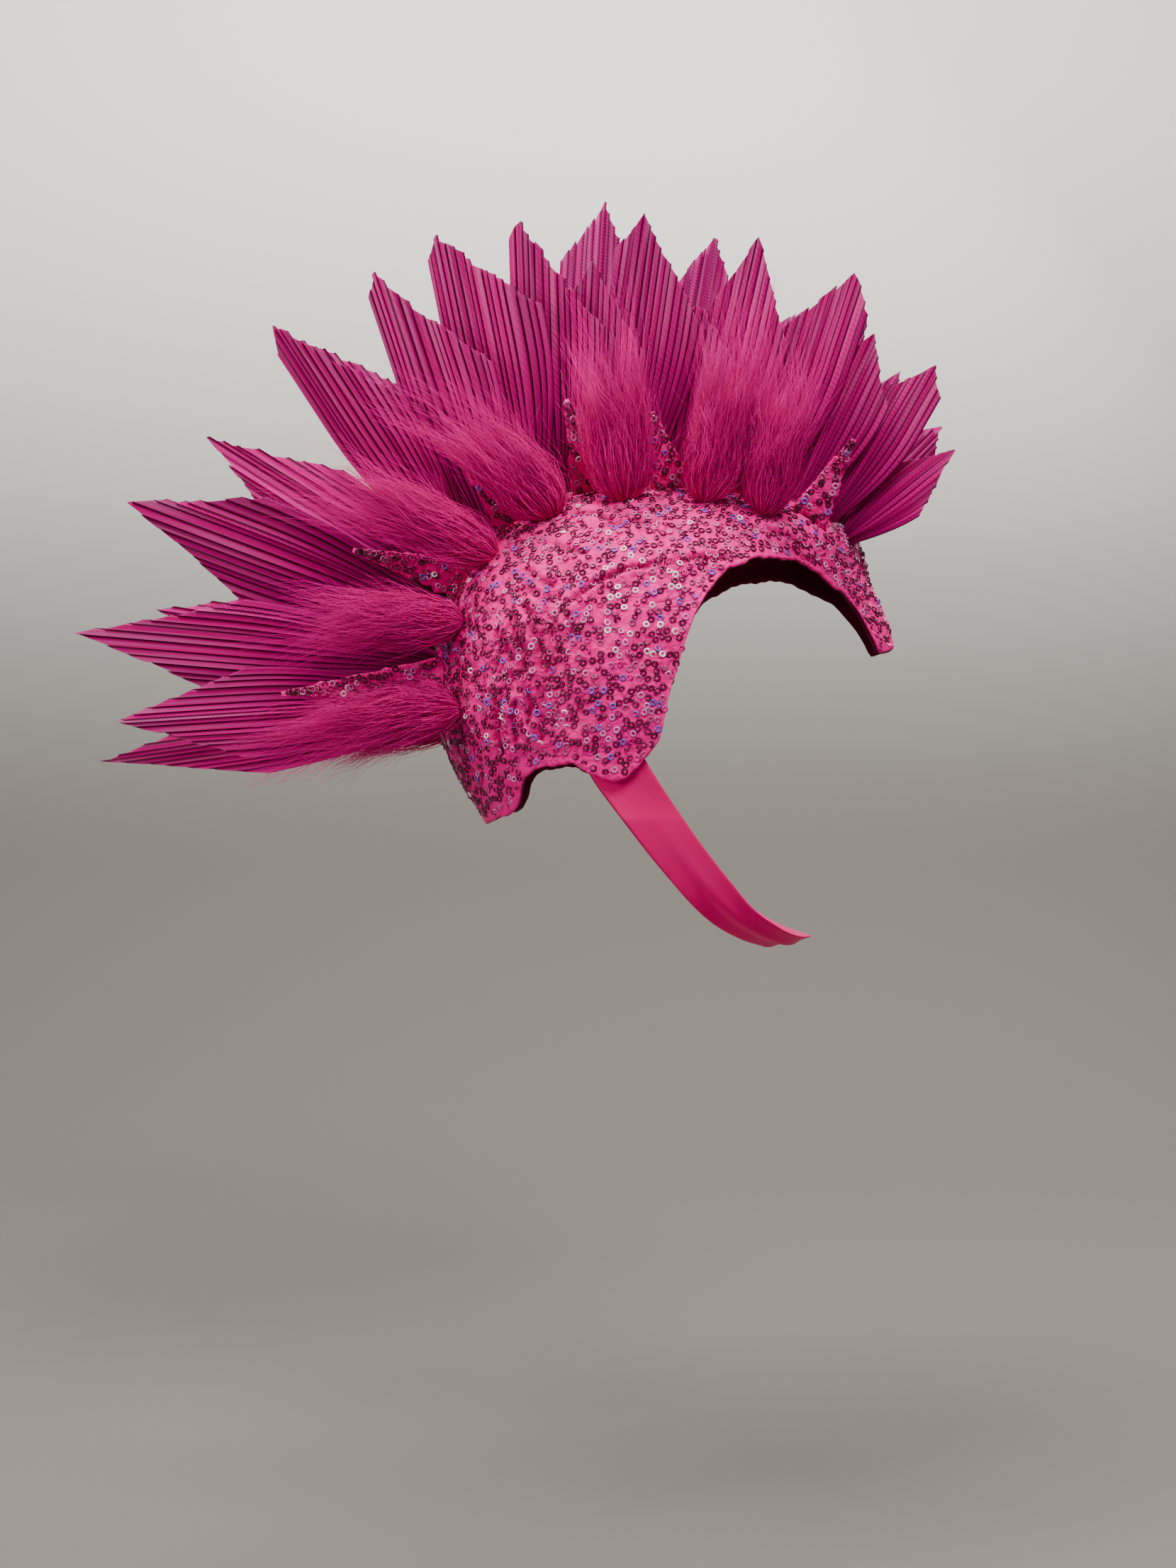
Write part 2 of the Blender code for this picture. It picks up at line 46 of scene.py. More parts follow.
BACK_REACH = 101.5
PEAK_REACH = 124.0
HALF_WIDTH = 77.0
CAP_DEPTH = 165.0
CAP_WALL = 2.6
ROUND = 2.15              # exponent of the cap's sections away from the peak
SPEAR_LENGTH = 160.0
SPEAR_WIDTH = 50.0
SPIKE_LENGTH = 46.0
SPIKE_WIDTH = 18.0
TUFT_LENGTH = 68.0
TUFT_WIDTH = 27.0
TUFT_THICKNESS = 15.0
SPEAR_ROW = 0.247 * HALF_WIDTH
SPIKE_ROW = 0.403 * HALF_WIDTH
TUFT_ROW = 0.532 * HALF_WIDTH
CREST_CENTRE = 0.364 * CAP_DEPTH
SPEAR_SPLAY = 12.0        # outward lean of each row
SPIKE_SPLAY = 17.0
TUFT_SPLAY = 24.0
SPEAR_TWIST = 20.0        # turn of a leaf about its own length
LEAF_WALL = 0.35
SPIKE_WALL = 0.9
STRAP_WALL = 1.0
STRAP_GAP = 0.95          # middle of the strap to the inside of the cap
STRAP_WIDTH = 25.0
STRAP_FORWARD = 73.0
STRAP_DROP = CAP_DEPTH - CAP_WALL + 59.0
NEAR, FAR = -1, 1         # the wearer's right and left

# Cap sections: depth, back, front, side and the exponent of the front half
CAP_SECTIONS = [
    (0.000, 0.000, 0.000, 0.000, 2.20),
    (0.012, 0.280, 0.360, 0.235, 2.20),
    (0.036, 0.420, 0.560, 0.385, 2.20),
    (0.073, 0.555, 0.700, 0.530, 2.10),
    (0.121, 0.680, 0.800, 0.655, 2.00),
    (0.182, 0.790, 0.870, 0.775, 1.75),
    (0.273, 0.890, 0.905, 0.895, 1.45),
    (0.364, 0.955, 0.960, 0.960, 1.25),
    (0.485, 0.995, 1.000, 1.000, 1.25),
    (0.606, 1.000, 0.980, 1.000, 1.30),
    (0.703, 0.990, 0.940, 0.985, 1.40),
    (0.800, 0.935, 0.890, 0.955, 1.50),
    (0.885, 0.870, 0.850, 0.920, 1.60),
    (1.000, 0.755, 0.800, 0.830, 1.70),
]
# Lower edge of the cap: angle from the face, depth share
RIM = [
    (0.0, 0.478), (3.0, 0.490), (5.2, 0.497), (6.5, 0.465), (8.2, 0.413),
    (10.5, 0.355), (17.0, 0.307), (21.0, 0.283), (32.0, 0.246), (48.0, 0.248),
    (55.0, 0.270), (62.0, 0.295), (70.0, 0.370), (75.0, 0.441), (80.0, 0.575),
    (83.0, 0.660), (85.0, 0.750), (88.0, 0.790), (92.0, 0.827), (100.0, 0.876),
    (106.0, 0.868), (112.0, 0.846), (116.0, 0.827), (123.0, 0.833), (130.0, 0.845),
    (135.0, 0.880), (138.0, 0.922), (144.0, 0.962), (154.0, 0.980), (165.0, 0.994),
    (180.0, 1.000),
]
# Soft gathers: angle, height
GATHERS = [(113.0, 0.98), (127.0, 1.30), (141.0, 0.98)]

# Creases of the satin on both sides: depth, then points to the face and up
CREASES = [
    (0.9, [(-47.5, -74.3), (-48.2, -82.3), (-47.5, -90.4)]),
    (0.8, [(-47.8, -101.0), (-47.2, -111.3), (-47.8, -123.6)]),
    (0.8, [(-59.4, -124.2), (-61.0, -116.2), (-59.4, -106.5)]),
    (1.0, [(-55.2, -62.4), (-52.0, -67.2), (-47.8, -71.1)]),
    (0.9, [(-61.7, -67.9), (-60.4, -71.7), (-58.1, -77.5)]),
    (0.9, [(-51.4, -71.7), (-49.8, -77.5), (-45.3, -84.0)]),
    (0.9, [(-68.1, -72.7), (-66.2, -79.1), (-61.0, -85.6)]),
    (0.9, [(-56.9, -79.1), (-54.9, -85.6), (-55.9, -93.6)]),
    (0.8, [(-69.1, -88.8), (-64.3, -93.6), (-56.9, -95.2)]),
    (0.7, [(-45.3, -65.3), (-42.4, -72.7), (-43.0, -79.1)]),
    (0.8, [(-65.9, -129.7), (-68.1, -121.0), (-66.8, -111.3)]),
    (0.6, [(-35.9, -67.2), (-34.0, -72.7), (-35.0, -77.5)]),
    (0.7, [(-71.3, -101.7), (-68.1, -109.7), (-69.1, -122.6)]),
    (0.8, [(-53.6, -45.3), (-49.8, -50.1), (-43.3, -53.4)]),
    (0.7, [(-53.6, -101.7), (-52.7, -109.7), (-53.6, -116.2)]),
    (0.7, [(-41.7, -32.4), (-35.9, -36.3), (-27.6, -38.2)]),
    (1.0, [(-32.1, -17.0), (-23.0, -18.3), (-16.0, -21.2)]),
    (0.7, [(-16.6, -24.4), (-5.3, -22.1), (5.9, -23.7)]),
    (0.7, [(57.5, -24.4), (67.1, -27.6), (76.8, -32.4)]),
]
# Gathered seam of the side panel, on both sides
SEAM = [(35.9, -41.1), (26.2, -40.2), (9.2, -43.4), (-9.2, -46.3), (-22.1, -51.8),
        (-30.4, -58.2), (-36.9, -63.7), (-41.7, -68.8)]

# Leaves: root, lean, length, width, tip, front loss, back loss
NEAR_SPEARS = [
    (114.0, 94.0, 0.96, 0.90, 0.00, 0.40, 0.40),
    (105.0, 85.5, 1.07, 0.95, 0.00, 0.45, 0.40),
    (93.0, 70.0, 1.00, 1.05, 0.00, 0.38, 0.42),
    (75.0, 33.0, 0.91, 0.95, 0.75, 0.48, 0.10),
    (62.0, 17.5, 0.83, 1.00, 0.75, 0.42, 0.08),
    (48.0, 11.5, 0.84, 1.05, 0.75, 0.30, 0.08),
    (35.0, 1.5, 0.81, 0.95, 0.75, 0.40, 0.08),
    (22.0, -3.0, 0.67, 0.90, 0.25, 0.40, 0.25),
    (5.0, -8.0, 0.80, 1.00, 0.50, 0.40, 0.15),
    (-12.0, -9.0, 0.55, 0.95, 0.00, 0.30, 0.30),
    (-27.0, -12.0, 0.76, 1.00, 0.00, 0.42, 0.42),
    (-45.0, -17.0, 0.70, 0.95, -0.50, 0.15, 0.42),
    (-55.0, -24.5, 0.55, 0.85, 0.00, 0.35, 0.38),
    (-63.0, -29.0, 0.54, 0.80, -0.50, 0.15, 0.40),
    (-70.5, -51.0, 0.415, 0.60, 0.00, 0.50, 0.42),
]
FAR_SPEARS = [
    (116.0, 97.5, 1.19, 0.80, 0.00, 0.42, 0.50),
    (101.0, 80.5, 0.99, 0.95, 0.00, 0.42, 0.42),
    (83.0, 57.5, 1.02, 1.00, 0.00, 0.42, 0.42),
    (66.0, 37.0, 0.98, 1.00, 0.50, 0.42, 0.20),
    (48.0, 20.0, 0.87, 1.00, 0.00, 0.42, 0.42),
    (24.0, -3.0, 1.04, 0.90, 0.00, 0.28, 0.24),
    (5.0, -5.0, 0.78, 0.95, 0.00, 0.40, 0.40),
    (-13.0, -10.5, 0.93, 0.85, 0.00, 0.28, 0.28),
    (-34.0, -24.0, 0.72, 0.95, 0.00, 0.20, 0.30),
    (-47.0, -29.5, 0.78, 0.85, 0.00, 0.42, 0.42),
    (-58.0, -35.0, 0.62, 0.80, 0.00, 0.40, 0.40),
    (-67.5, -45.0, 0.55, 0.75, 0.00, 0.30, 0.30),
]
# Spikes: root, lean, length
SPIKES = [(109.0, 97.5, 1.70), (81.0, 77.0, 1.20), (56.0, 40.0, 1.00), (24.0, 16.5, 1.00),
          (-14.0, 16.0, 0.83), (-40.5, -10.5, 0.90), (-61.5, -29.5, 0.92)]
# Tufts: root, lean, length, width, curl
TUFTS = [
    (119.0, 94.0, 1.12, 0.95, 0.10),
    (95.0, 89.0, 1.00, 0.90, 0.05),
    (72.0, 62.0, 1.12, 0.95, 0.10),
    (46.0, 28.0, 0.88, 1.25, 0.30),
    (11.0, 3.0, 1.00, 1.20, 0.08),
    (-30.0, -9.0, 1.00, 1.00, -0.05),
    (-52.0, -10.0, 0.91, 0.95, -0.03),
]
# Strap from the ear to the chin: share of the way, forward, side, drop, width, turn
STRAP_ROUTE = [
    (0.000, -0.27, 0.915, 0.560, 1.00, 0.00),
    (0.125, -0.15, 0.896, 0.628, 0.98, 0.00),
    (0.250, 0.00, 0.850, 0.700, 0.92, 0.08),
    (0.375, 0.20, 0.766, 0.790, 0.88, 0.26),
    (0.500, 0.40, 0.650, 0.871, 0.86, 0.44),
    (0.625, 0.58, 0.507, 0.932, 0.84, 0.66),
    (0.750, 0.77, 0.344, 0.973, 0.84, 0.82),
    (0.875, 0.93, 0.169, 0.995, 0.84, 0.94),
    (1.000, 1.00, 0.000, 1.000, 0.84, 1.00),
]
# Fold along the strap: across, height
STRAP_SECTION = [(-0.50, 0.0), (-0.20, 0.0), (0.05, 1.0), (0.25, 0.2), (0.50, 0.0)]


def smooth_table(rows, at):
    """Read a table along a cubic through its rows, with slopes held to 2.5 steps."""
    table = np.asarray(rows, dtype=float)
    keys = table[:, 0]
    at = np.clip(np.asarray(at, dtype=float), keys[0], keys[-1])
    spans = np.diff(keys)
    steps = np.diff(table[:, 1:], axis=0) / spans[:, None]
    slopes = np.vstack([steps[:1], 0.5 * (steps[1:] + steps[:-1]), steps[-1:]])
    slopes[1:-1][steps[1:] * steps[:-1] <= 0.0] = 0.0
    limits = 2.5 * np.minimum(np.abs(np.vstack([steps[:1], steps])),
                              np.abs(np.vstack([steps, steps[-1:]])))
    slopes = np.clip(slopes, -limits, limits)
    index = np.clip(np.searchsorted(keys, at, side="right") - 1, 0, len(keys) - 2)
    t = ((at - keys[index]) / spans[index])[..., None]
    low, high = table[index, 1:], table[index + 1, 1:]
    bend = slopes[index] * t * (1 - t) ** 2 - slopes[index + 1] * t * t * (1 - t)
    result = low * (1 + 2 * t) * (1 - t) ** 2 + high * t * t * (3 - 2 * t)
    return np.moveaxis(result + spans[index][..., None] * bend, -1, 0)


SECTIONS_BY_ROOT = [(row[0] ** 0.5,) + row[1:] for row in CAP_SECTIONS]


def cap_radius(angle, depth):
    """Superellipse radius at an angle and depth, plus the cosine humps of the gathers."""
    share = np.maximum(depth / CAP_DEPTH, 1e-7)
    angle = np.minimum(np.abs(angle), 180.0)
    back, front, side, point = smooth_table(SECTIONS_BY_ROOT, np.sqrt(share))
    along = np.where(angle < 90.0, front * PEAK_REACH, back * BACK_REACH)
    keel = 1.0 - np.clip((angle - 25.0) / 40.0, 0.0, 1.0)
    exponent = ROUND + (point - ROUND) * keel * keel * (3.0 - 2.0 * keel)
    cosine = np.abs(np.cos(np.radians(angle))) / np.maximum(along, 1e-6)
    sine = np.sin(np.radians(angle)) / np.maximum(side * HALF_WIDTH, 1e-6)
    radius = (cosine ** exponent + sine ** exponent) ** (-1.0 / exponent)
    fade = np.sin(np.pi * np.clip((share - 0.20) / 0.52, 0.0, 1.0))
    for middle, height in GATHERS:
        offset = np.minimum(np.abs(angle - middle) / 7.0, 1.0)
        radius = radius + height * fade * 0.5 * (1.0 + np.cos(np.pi * offset))
    return np.where(depth > 0.0, radius, 0.0)


def excess(points):
    """Distance from the upright axis less the cap's radius there."""
    angle = np.degrees(np.arctan2(np.abs(points[..., 1]), points[..., 0]))
    reach = np.hypot(points[..., 0], points[..., 1])
    return reach - cap_radius(angle, CAP_WALL - points[..., 2])


def beyond_cap(points):
    """Signed distance from the cap's outside and the unit vector away from it."""
    value = excess(points)
    step = 0.05
    slope = np.stack([excess(points + np.eye(3)[k] * step) - value for k in range(3)],
                     axis=-1) / step
    size = np.linalg.norm(slope, axis=-1, keepdims=True)
    return value / np.maximum(size[..., 0], 1.0), slope / np.maximum(size, 1e-6)


def rim_depth(angle):
    """Depth of the cap's lower edge at an angle from the face."""
    return smooth_table(RIM, np.abs(angle))[0] * CAP_DEPTH


def from_path(x, z, path):
    """Distance from a path of straight pieces, and how far along it the foot lies."""
    path = np.asarray(path)
    starts, spans = path[:-1], np.diff(path, axis=0)
    sizes = np.linalg.norm(spans, axis=1)
    dx = x[..., None] - starts[:, 0]
    dz = z[..., None] - starts[:, 1]
    t = np.clip((dx * spans[:, 0] + dz * spans[:, 1]) / sizes ** 2, 0.0, 1.0)
    gaps = np.hypot(dx - t * spans[:, 0], dz - t * spans[:, 1])
    best = np.argmin(gaps, axis=-1)[..., None]
    travelled = np.concatenate([[0.0], np.cumsum(sizes)[:-1]])
    along = travelled[best[..., 0]] + np.take_along_axis(t, best, -1)[..., 0] * sizes[best[..., 0]]
    return np.take_along_axis(gaps, best, -1)[..., 0], along


CRUMPLES = chance.normal(0.0, 1.0, (14, 3))
CRUMPLES = CRUMPLES / np.linalg.norm(CRUMPLES, axis=1, keepdims=True)
CRUMPLE_LENGTHS = np.geomspace(26.0, 5.0, 14)
CRUMPLE_PHASES = chance.uniform(0.0, 2.0 * np.pi, 14)


def wrinkle(points):
    """Height of the cloth over the smooth cap: fourteen crossing sine waves that bend
    one another, strongest behind the ear, less a bell curve along each crease and the
    seam, with puckers across the seam."""
    x, z = points[..., 0], points[..., 2]
    sway = 2.5 * np.sin(points @ np.array([0.11, 0.07, -0.09]) + 1.0)
    height = np.zeros_like(x)
    for direction, length, phase in zip(CRUMPLES, CRUMPLE_LENGTHS, CRUMPLE_PHASES):
        turn = 2.0 * np.pi / length
        height += 0.026 * length * np.sin((points @ direction + sway) * turn + phase)
    bunched = np.exp(-((x + 56.0) / 26.0) ** 2 - ((z + 85.0) / 34.0) ** 2)
    height = 0.50 * height * (0.45 + 1.1 * bunched)
    for depth, path in CREASES:
        gap, _ = from_path(x, z, path)
        height += depth * (0.9 * np.exp(-((gap - 3.0) / 1.8) ** 2)
                           - 1.2 * np.exp(-(gap / 1.4) ** 2)) * (z < 0.0)
    gap, along = from_path(x, z, SEAM)
    puckers = np.sin(along * 2.0 * np.pi / 4.6) * np.exp(-(gap / 5.0) ** 2)
    height += 0.8 * np.exp(-((gap - 2.4) / 1.8) ** 2) - 1.2 * np.exp(-(gap / 1.0) ** 2)
    return np.clip(1.15 * height + 0.4 * puckers, -1.8, 2.4)


def crease_shade(points):
    """Painted shade of the creases and the seam: how deep in a crease or in the seam a point lies,
    from 0 to 1.
    """
    x, z = points[..., 0], points[..., 2]
    shade = 0.9 * np.exp(-(from_path(x, z, SEAM)[0] / 1.2) ** 2)
    for depth, path in CREASES:
        shade = np.maximum(shade, depth * np.exp(-(from_path(x, z, path)[0] / 1.3) ** 2))
    return shade


def linear(code):
    """Linear colour of an sRGB hex code."""
    parts = np.array([int(code[k:k + 2], 16) for k in (1, 3, 5)]) / 255.0
    parts = np.where(parts <= 0.04045, parts / 12.92, ((parts + 0.055) / 1.055) ** 2.4)
    return (*parts.tolist(), 1.0)


def new_piece(name, points, faces, materials, smooth=True, uv=None, tone_and_painted_light=None,
              edge=None, kinds=None):
    """Mesh object from points in millimetres; uv, tint and edge hold a row per point."""
    mesh = bpy.data.meshes.new(name)
    mesh.from_pydata((np.asarray(points) * MM).tolist(), [], faces)
    for material in materials:
        mesh.materials.append(material)
    corners = np.zeros(len(mesh.loops), dtype=np.int32)
    mesh.loops.foreach_get("vertex_index", corners)
    if uv is not None:
        layer = mesh.uv_layers.new(name="lie")
        layer.data.foreach_set("uv", np.asarray(uv, dtype=np.float32)[corners].ravel())
    # This colour attribute holds the sequin and down colours with painted glints and painted light
    # and shade; on the leaves it holds only painted shade.
    if tone_and_painted_light is not None:
        layer = mesh.color_attributes.new("tone_and_painted_light", "FLOAT_COLOR", "POINT")
        rows = np.column_stack([tone_and_painted_light, np.ones(len(tone_and_painted_light))]).astype(np.float32)
        layer.data.foreach_set("color", rows.ravel())
    if edge is not None:
        layer = mesh.attributes.new("edge", "FLOAT", "POINT")
        layer.data.foreach_set("value", np.asarray(edge, dtype=np.float32))
    if kinds is not None:
        mesh.polygons.foreach_set("material_index", np.asarray(kinds, dtype=np.int32))
    mesh.polygons.foreach_set("use_smooth", np.full(len(mesh.polygons), smooth))
    mesh.update()
    piece = bpy.data.objects.new(name, mesh)
    bpy.context.scene.collection.objects.link(piece)
    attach(piece, "root")
    return piece


def grid_faces(columns, rows, closed=False):
    """Quads of a grid whose points run row by row."""
    column = np.arange(columns if closed else columns - 1)
    low = (np.arange(rows - 1)[:, None] * columns + column).ravel()
    step = np.tile((column + 1) % columns - column, rows - 1)
    return np.column_stack([low, low + step, low + step + columns, low + columns])


def node(tree, kind, inputs=None, **settings):
    """Add a shader node; inputs hold values or the sockets that feed them."""
    made = tree.nodes.new("ShaderNode" + kind)
    for name, value in settings.items():
        setattr(made, name, value)
    for name, value in (inputs or {}).items():
        if isinstance(value, bpy.types.NodeSocket):
            tree.links.new(value, made.inputs[name])
        else:
            made.inputs[name].default_value = value
    return made


def new_material(name):
    """Empty node tree and its output node."""
    material = bpy.data.materials.new(name)
    material.use_nodes = True
    material.node_tree.nodes.clear()
    return material, material.node_tree, material.node_tree.nodes.new("ShaderNodeOutputMaterial")


def satin(name, lit, shade, roughness, weave, crumple=0.0):
    """Polyester satin: a soft sheen on a fine twill that breaks up the highlight;
    crumple sets how much small soft folds show."""
    material, tree, output = new_material(name)
    place = node(tree, "TexCoord").outputs["Object"]
    # Noise mixes the lit and the shaded colour of the satin: painted light and shade in soft
    # patches.
    cloud = node(tree, "TexNoise", {"Vector": place, "Scale": 60.0, "Detail": 3.0})
    tone = node(tree, "MixRGB", {"Fac": cloud.outputs["Fac"], "Color1": linear(shade),
                                 "Color2": linear(lit)}).outputs["Color"]
    # Painted shade: the edge attribute darkens the cap's creases and seam towards dark red.
    painted_crease_shade = node(tree, "Attribute", attribute_name="edge").outputs["Fac"]
    tone = node(tree, "MixRGB", {"Fac": painted_crease_shade, "Color1": tone, "Color2": linear("#7A0028")})
    # The twill is drawn at a little under a millimetre, coarser than the real one
    twill = node(tree, "TexWave", {"Vector": place, "Scale": weave, "Distortion": 1.5},
                 bands_direction="DIAGONAL")
    bump = node(tree, "Bump", {"Height": twill.outputs["Fac"], "Strength": 0.10,
                               "Distance": 0.0004})
    soft = node(tree, "TexNoise", {"Vector": place, "Scale": 190.0, "Detail": 2.0,
                                   "Distortion": 1.2})
    bump = node(tree, "Bump", {"Height": soft.outputs["Fac"], "Strength": crumple,
                               "Distance": 0.0035, "Normal": bump.outputs[0]})
    shader = node(tree, "BsdfPrincipled", {
        "Base Color": tone.outputs["Color"], "Roughness": roughness, "Normal": bump.outputs[0],
        "Specular IOR Level": 0.2, "Specular Tint": linear("#FF40B8")})
    tree.links.new(shader.outputs[0], output.inputs["Surface"])
    return material


def sequin_plastic():
    """Translucent film sequins: a coloured, glossy loop whose thin coat flashes in
    blue, violet and bronze as it turns."""
    material, tree, output = new_material("loop_sequin")
    colour = node(tree, "VertexColor", layer_name="tone_and_painted_light").outputs["Color"]
    place = node(tree, "TexCoord").outputs["Object"]
    film = node(tree, "TexNoise", {"Vector": place, "Scale": 220.0})
    nanometres = node(tree, "MapRange", {"Value": film.outputs["Fac"], "From Min": 0.3,
                                         "From Max": 0.7, "To Min": 240.0, "To Max": 620.0})
    shader = node(tree, "BsdfPrincipled", {
        "Base Color": colour, "Metallic": 0.15, "Roughness": 0.22, "Coat Weight": 0.3,
        "Specular IOR Level": 0.4, "Coat Roughness": 0.08,
        "Thin Film Thickness": nanometres.outputs["Result"], "Thin Film IOR": 1.35})
    tree.links.new(shader.outputs[0], output.inputs["Surface"])
    return material


def pleated_cloth():
    """Pleated organza satin: opaque, with painted shade near the root, and towards the tip a
    single layer whose thin pleats let the light through as pale stripes, painted into the colour
    with a little real transparency."""
    material, tree, output = new_material("pleated_leaf")
    uv = node(tree, "UVMap", uv_map="lie").outputs["UV"]
    place = node(tree, "TexCoord").outputs["Object"]
    fray = node(tree, "Attribute", attribute_name="edge").outputs["Fac"]
    split = node(tree, "SeparateXYZ", {"Vector": uv})
    stretched = node(tree, "Mapping", {"Vector": uv, "Scale": (1.0, 0.8, 1.0)}).outputs[0]
    # Streak noise mixes a darker and a lighter pink: painted light and shade of the light passing
    # through the layers.
    streak = node(tree, "TexNoise", {"Vector": stretched, "Scale": 1.5, "Detail": 1.0})
    body = node(tree, "MixRGB", {"Fac": streak.outputs["Fac"], "Color1": linear("#CC0070"),
                                 "Color2": linear("#FF04AE")}).outputs["Color"]
    stripe = node(tree, "MapRange", {"Value": streak.outputs["Fac"], "From Min": 0.47,
                                     "From Max": 0.60}).outputs["Result"]
    high = node(tree, "MapRange", {"Value": split.outputs["Y"], "From Min": 0.45,
                                   "From Max": 0.95}).outputs["Result"]
    thin = node(tree, "Math", {0: stripe, 1: high}, operation="MULTIPLY").outputs[0]
    # Painted light: thin stripes high on the leaf are mixed towards pale pink, as if lit from
    # behind; the transparent share lets some real light through.
    tone = node(tree, "MixRGB", {"Fac": thin, "Color1": body,
                                 "Color2": linear("#E078B8")}).outputs["Color"]
    tone = node(tree, "MixRGB", {"Fac": fray, "Color1": tone,
                                 "Color2": linear("#F060B0")}).outputs["Color"]
    # Painted shade of the pleat valleys and the roots multiplies the colour.
    painted_leaf_shade = node(tree, "VertexColor", layer_name="tone_and_painted_light").outputs["Color"]
    tone = node(tree, "MixRGB", {"Fac": 1.0, "Color1": tone, "Color2": painted_leaf_shade},
                blend_type="MULTIPLY").outputs["Color"]
    # Weave at about a millimetre, drawn coarser than the real threads
    weave = node(tree, "TexWave", {"Vector": place, "Scale": 260.0, "Distortion": 2.0},
                 bands_direction="DIAGONAL")
    bump = node(tree, "Bump", {"Height": weave.outputs["Fac"], "Strength": 0.25,
                               "Distance": 0.0004})
    shader = node(tree, "BsdfPrincipled", {
        "Base Color": tone, "Roughness": 0.34, "Normal": bump.outputs[0],
        "Specular IOR Level": 0.3, "Specular Tint": linear("#FF20C0"),
        "Sheen Weight": 0.2, "Sheen Roughness": 0.3, "Sheen Tint": linear("#FF20E0")})
    glow = node(tree, "BsdfTranslucent", {"Color": tone})
    clear = node(tree, "BsdfTransparent", {"Color": linear("#F0A0CC")})
    cloth = node(tree, "MixShader", {"Fac": 0.28, 1: shader.outputs[0], 2: glow.outputs[0]})
    gap = node(tree, "MapRange", {"Value": thin, "To Min": 0.0, "To Max": 0.32})
    sheer = node(tree, "MixShader", {"Fac": gap.outputs["Result"], 1: cloth.outputs[0],
                                     2: clear.outputs[0]})
    tree.links.new(sheer.outputs[0], output.inputs["Surface"])
    return material


def feather():
    """Dyed down: matt barbs that let light through and glow softly at a slant."""
    material, tree, output = new_material("fluff")
    colour = node(tree, "VertexColor", layer_name="tone_and_painted_light").outputs["Color"]
    shader = node(tree, "BsdfPrincipled", {
        "Base Color": colour, "Roughness": 0.75, "Specular IOR Level": 0.2,
        "Sheen Weight": 0.15, "Sheen Tint": linear("#FF10B0")})
    glow = node(tree, "BsdfTranslucent", {"Color": colour})
    mixed = node(tree, "MixShader", {"Fac": 0.35, 1: shader.outputs[0], 2: glow.outputs[0]})
    tree.links.new(mixed.outputs[0], output.inputs["Surface"])
    return material


def build_cap(cloth, shaded_inside):
    """Closed shell: rings at depth = rim depth * share ** 1.4 carry the wrinkles, half
    a circle rolls them over the rim, and plain rings return to the crown inside."""
    columns, outer, inner, roll = 330, 150, 36, 5
    half = 180.0 * (np.arange(columns // 2 + 1) / (columns // 2)) ** 1.35
    angle = np.concatenate([half, -half[-2:0:-1]])
    depth = rim_depth(angle) * (np.linspace(0.0, 1.0, outer + 1)[1:, None] ** 1.4)
    radius = cap_radius(angle, depth)
    turn = np.radians(angle)
    base = np.stack([radius * np.cos(turn), radius * np.sin(turn), CAP_WALL - depth], axis=-1)
    _, normal = beyond_cap(base)
    ragged = 0.5 * np.sin(turn * 61.0) * np.sin(turn * 23.0 + 1.0)
    share = np.linspace(0.0, 1.0, outer + 1)[1:, None, None]
    base[..., 2] -= (ragged * share[..., 0] ** 20)
    hem = 0.5 * np.exp(-((1.0 - share[..., 0]) / 0.02) ** 2)
    lifted = base + normal * (wrinkle(base) * np.clip((1.0 - share[..., 0]) / 0.03, 0.35, 1.0)
                              + hem)[..., None]
    wall = CAP_WALL
    down = base[-1] - base[-2]
    down = down / np.linalg.norm(down, axis=-1, keepdims=True)
    out = normal[-1]
    bend = np.linspace(0.0, np.pi, roll + 2)[1:-1, None, None]
    middle = lifted[-1] - 0.5 * wall * out
    rolled = middle + 0.5 * wall * (np.cos(bend) * out + np.sin(bend) * down)
    chosen = np.linspace(outer - 1, 3, inner).astype(int)
    inside = base[chosen] - normal[chosen] * wall
    rings = np.concatenate([lifted, rolled, inside])
    points = np.concatenate([[[0.0, 0.0, CAP_WALL]], rings.reshape(-1, 3), [[0.0, 0.0, 0.0]]])
    around = np.arange(columns)
    beside = (around + 1) % columns
    top = np.column_stack([np.zeros(columns, int), 1 + around, 1 + beside])
    side = 1 + grid_faces(columns, len(rings), closed=True)[:, ::-1]
    final = len(points) - 1
    first = 1 + (len(rings) - 1) * columns
    close = np.column_stack([np.full(columns, final), first + beside, first + around])
    faces = top.tolist() + side.tolist() + close.tolist()
    # The rolled hem and the inside take the second satin, a darker copy of the first: painted
    # shade.
    kinds = np.concatenate([np.zeros(columns), np.zeros((outer + 1) * columns),
                            np.ones((roll + inner - 2) * columns), np.ones(columns)])
    # Painted shade of the creases and the seam, carried by the edge attribute.
    painted_crease_shade = np.zeros(len(points))
    painted_crease_shade[1:1 + base.size // 3] = crease_shade(base).ravel()
    cap = new_piece("cap_shell", points, faces, [cloth, shaded_inside],
                    edge=painted_crease_shade, kinds=kinds)
    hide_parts("cap")
    return cap


# Sequin colours and how often each comes
SEQUIN_TONES = ["#540A2E", "#701846", "#A84C80", "#D084BC", "#7C58C4", "#F4E4F0", "#C40C78"]
SEQUIN_ODDS = [0.33, 0.28, 0.14, 0.10, 0.06, 0.01, 0.08]
RING_REACH = 1.19         # middle of a sequin to the middle of its film
RING_BREADTH = 0.49
RING_HEIGHT = 0.16
RING_CORNERS = 12
SEQUIN_STEP = 3.1         # from one sequin of a chain to the next
SEQUIN_CROWD = 3.0        # least distance between sequins, and behind the ear
SEQUIN_CROWD_BEHIND = 2.65
SEQUINS_A_SIDE = 2000
WALKERS = 60


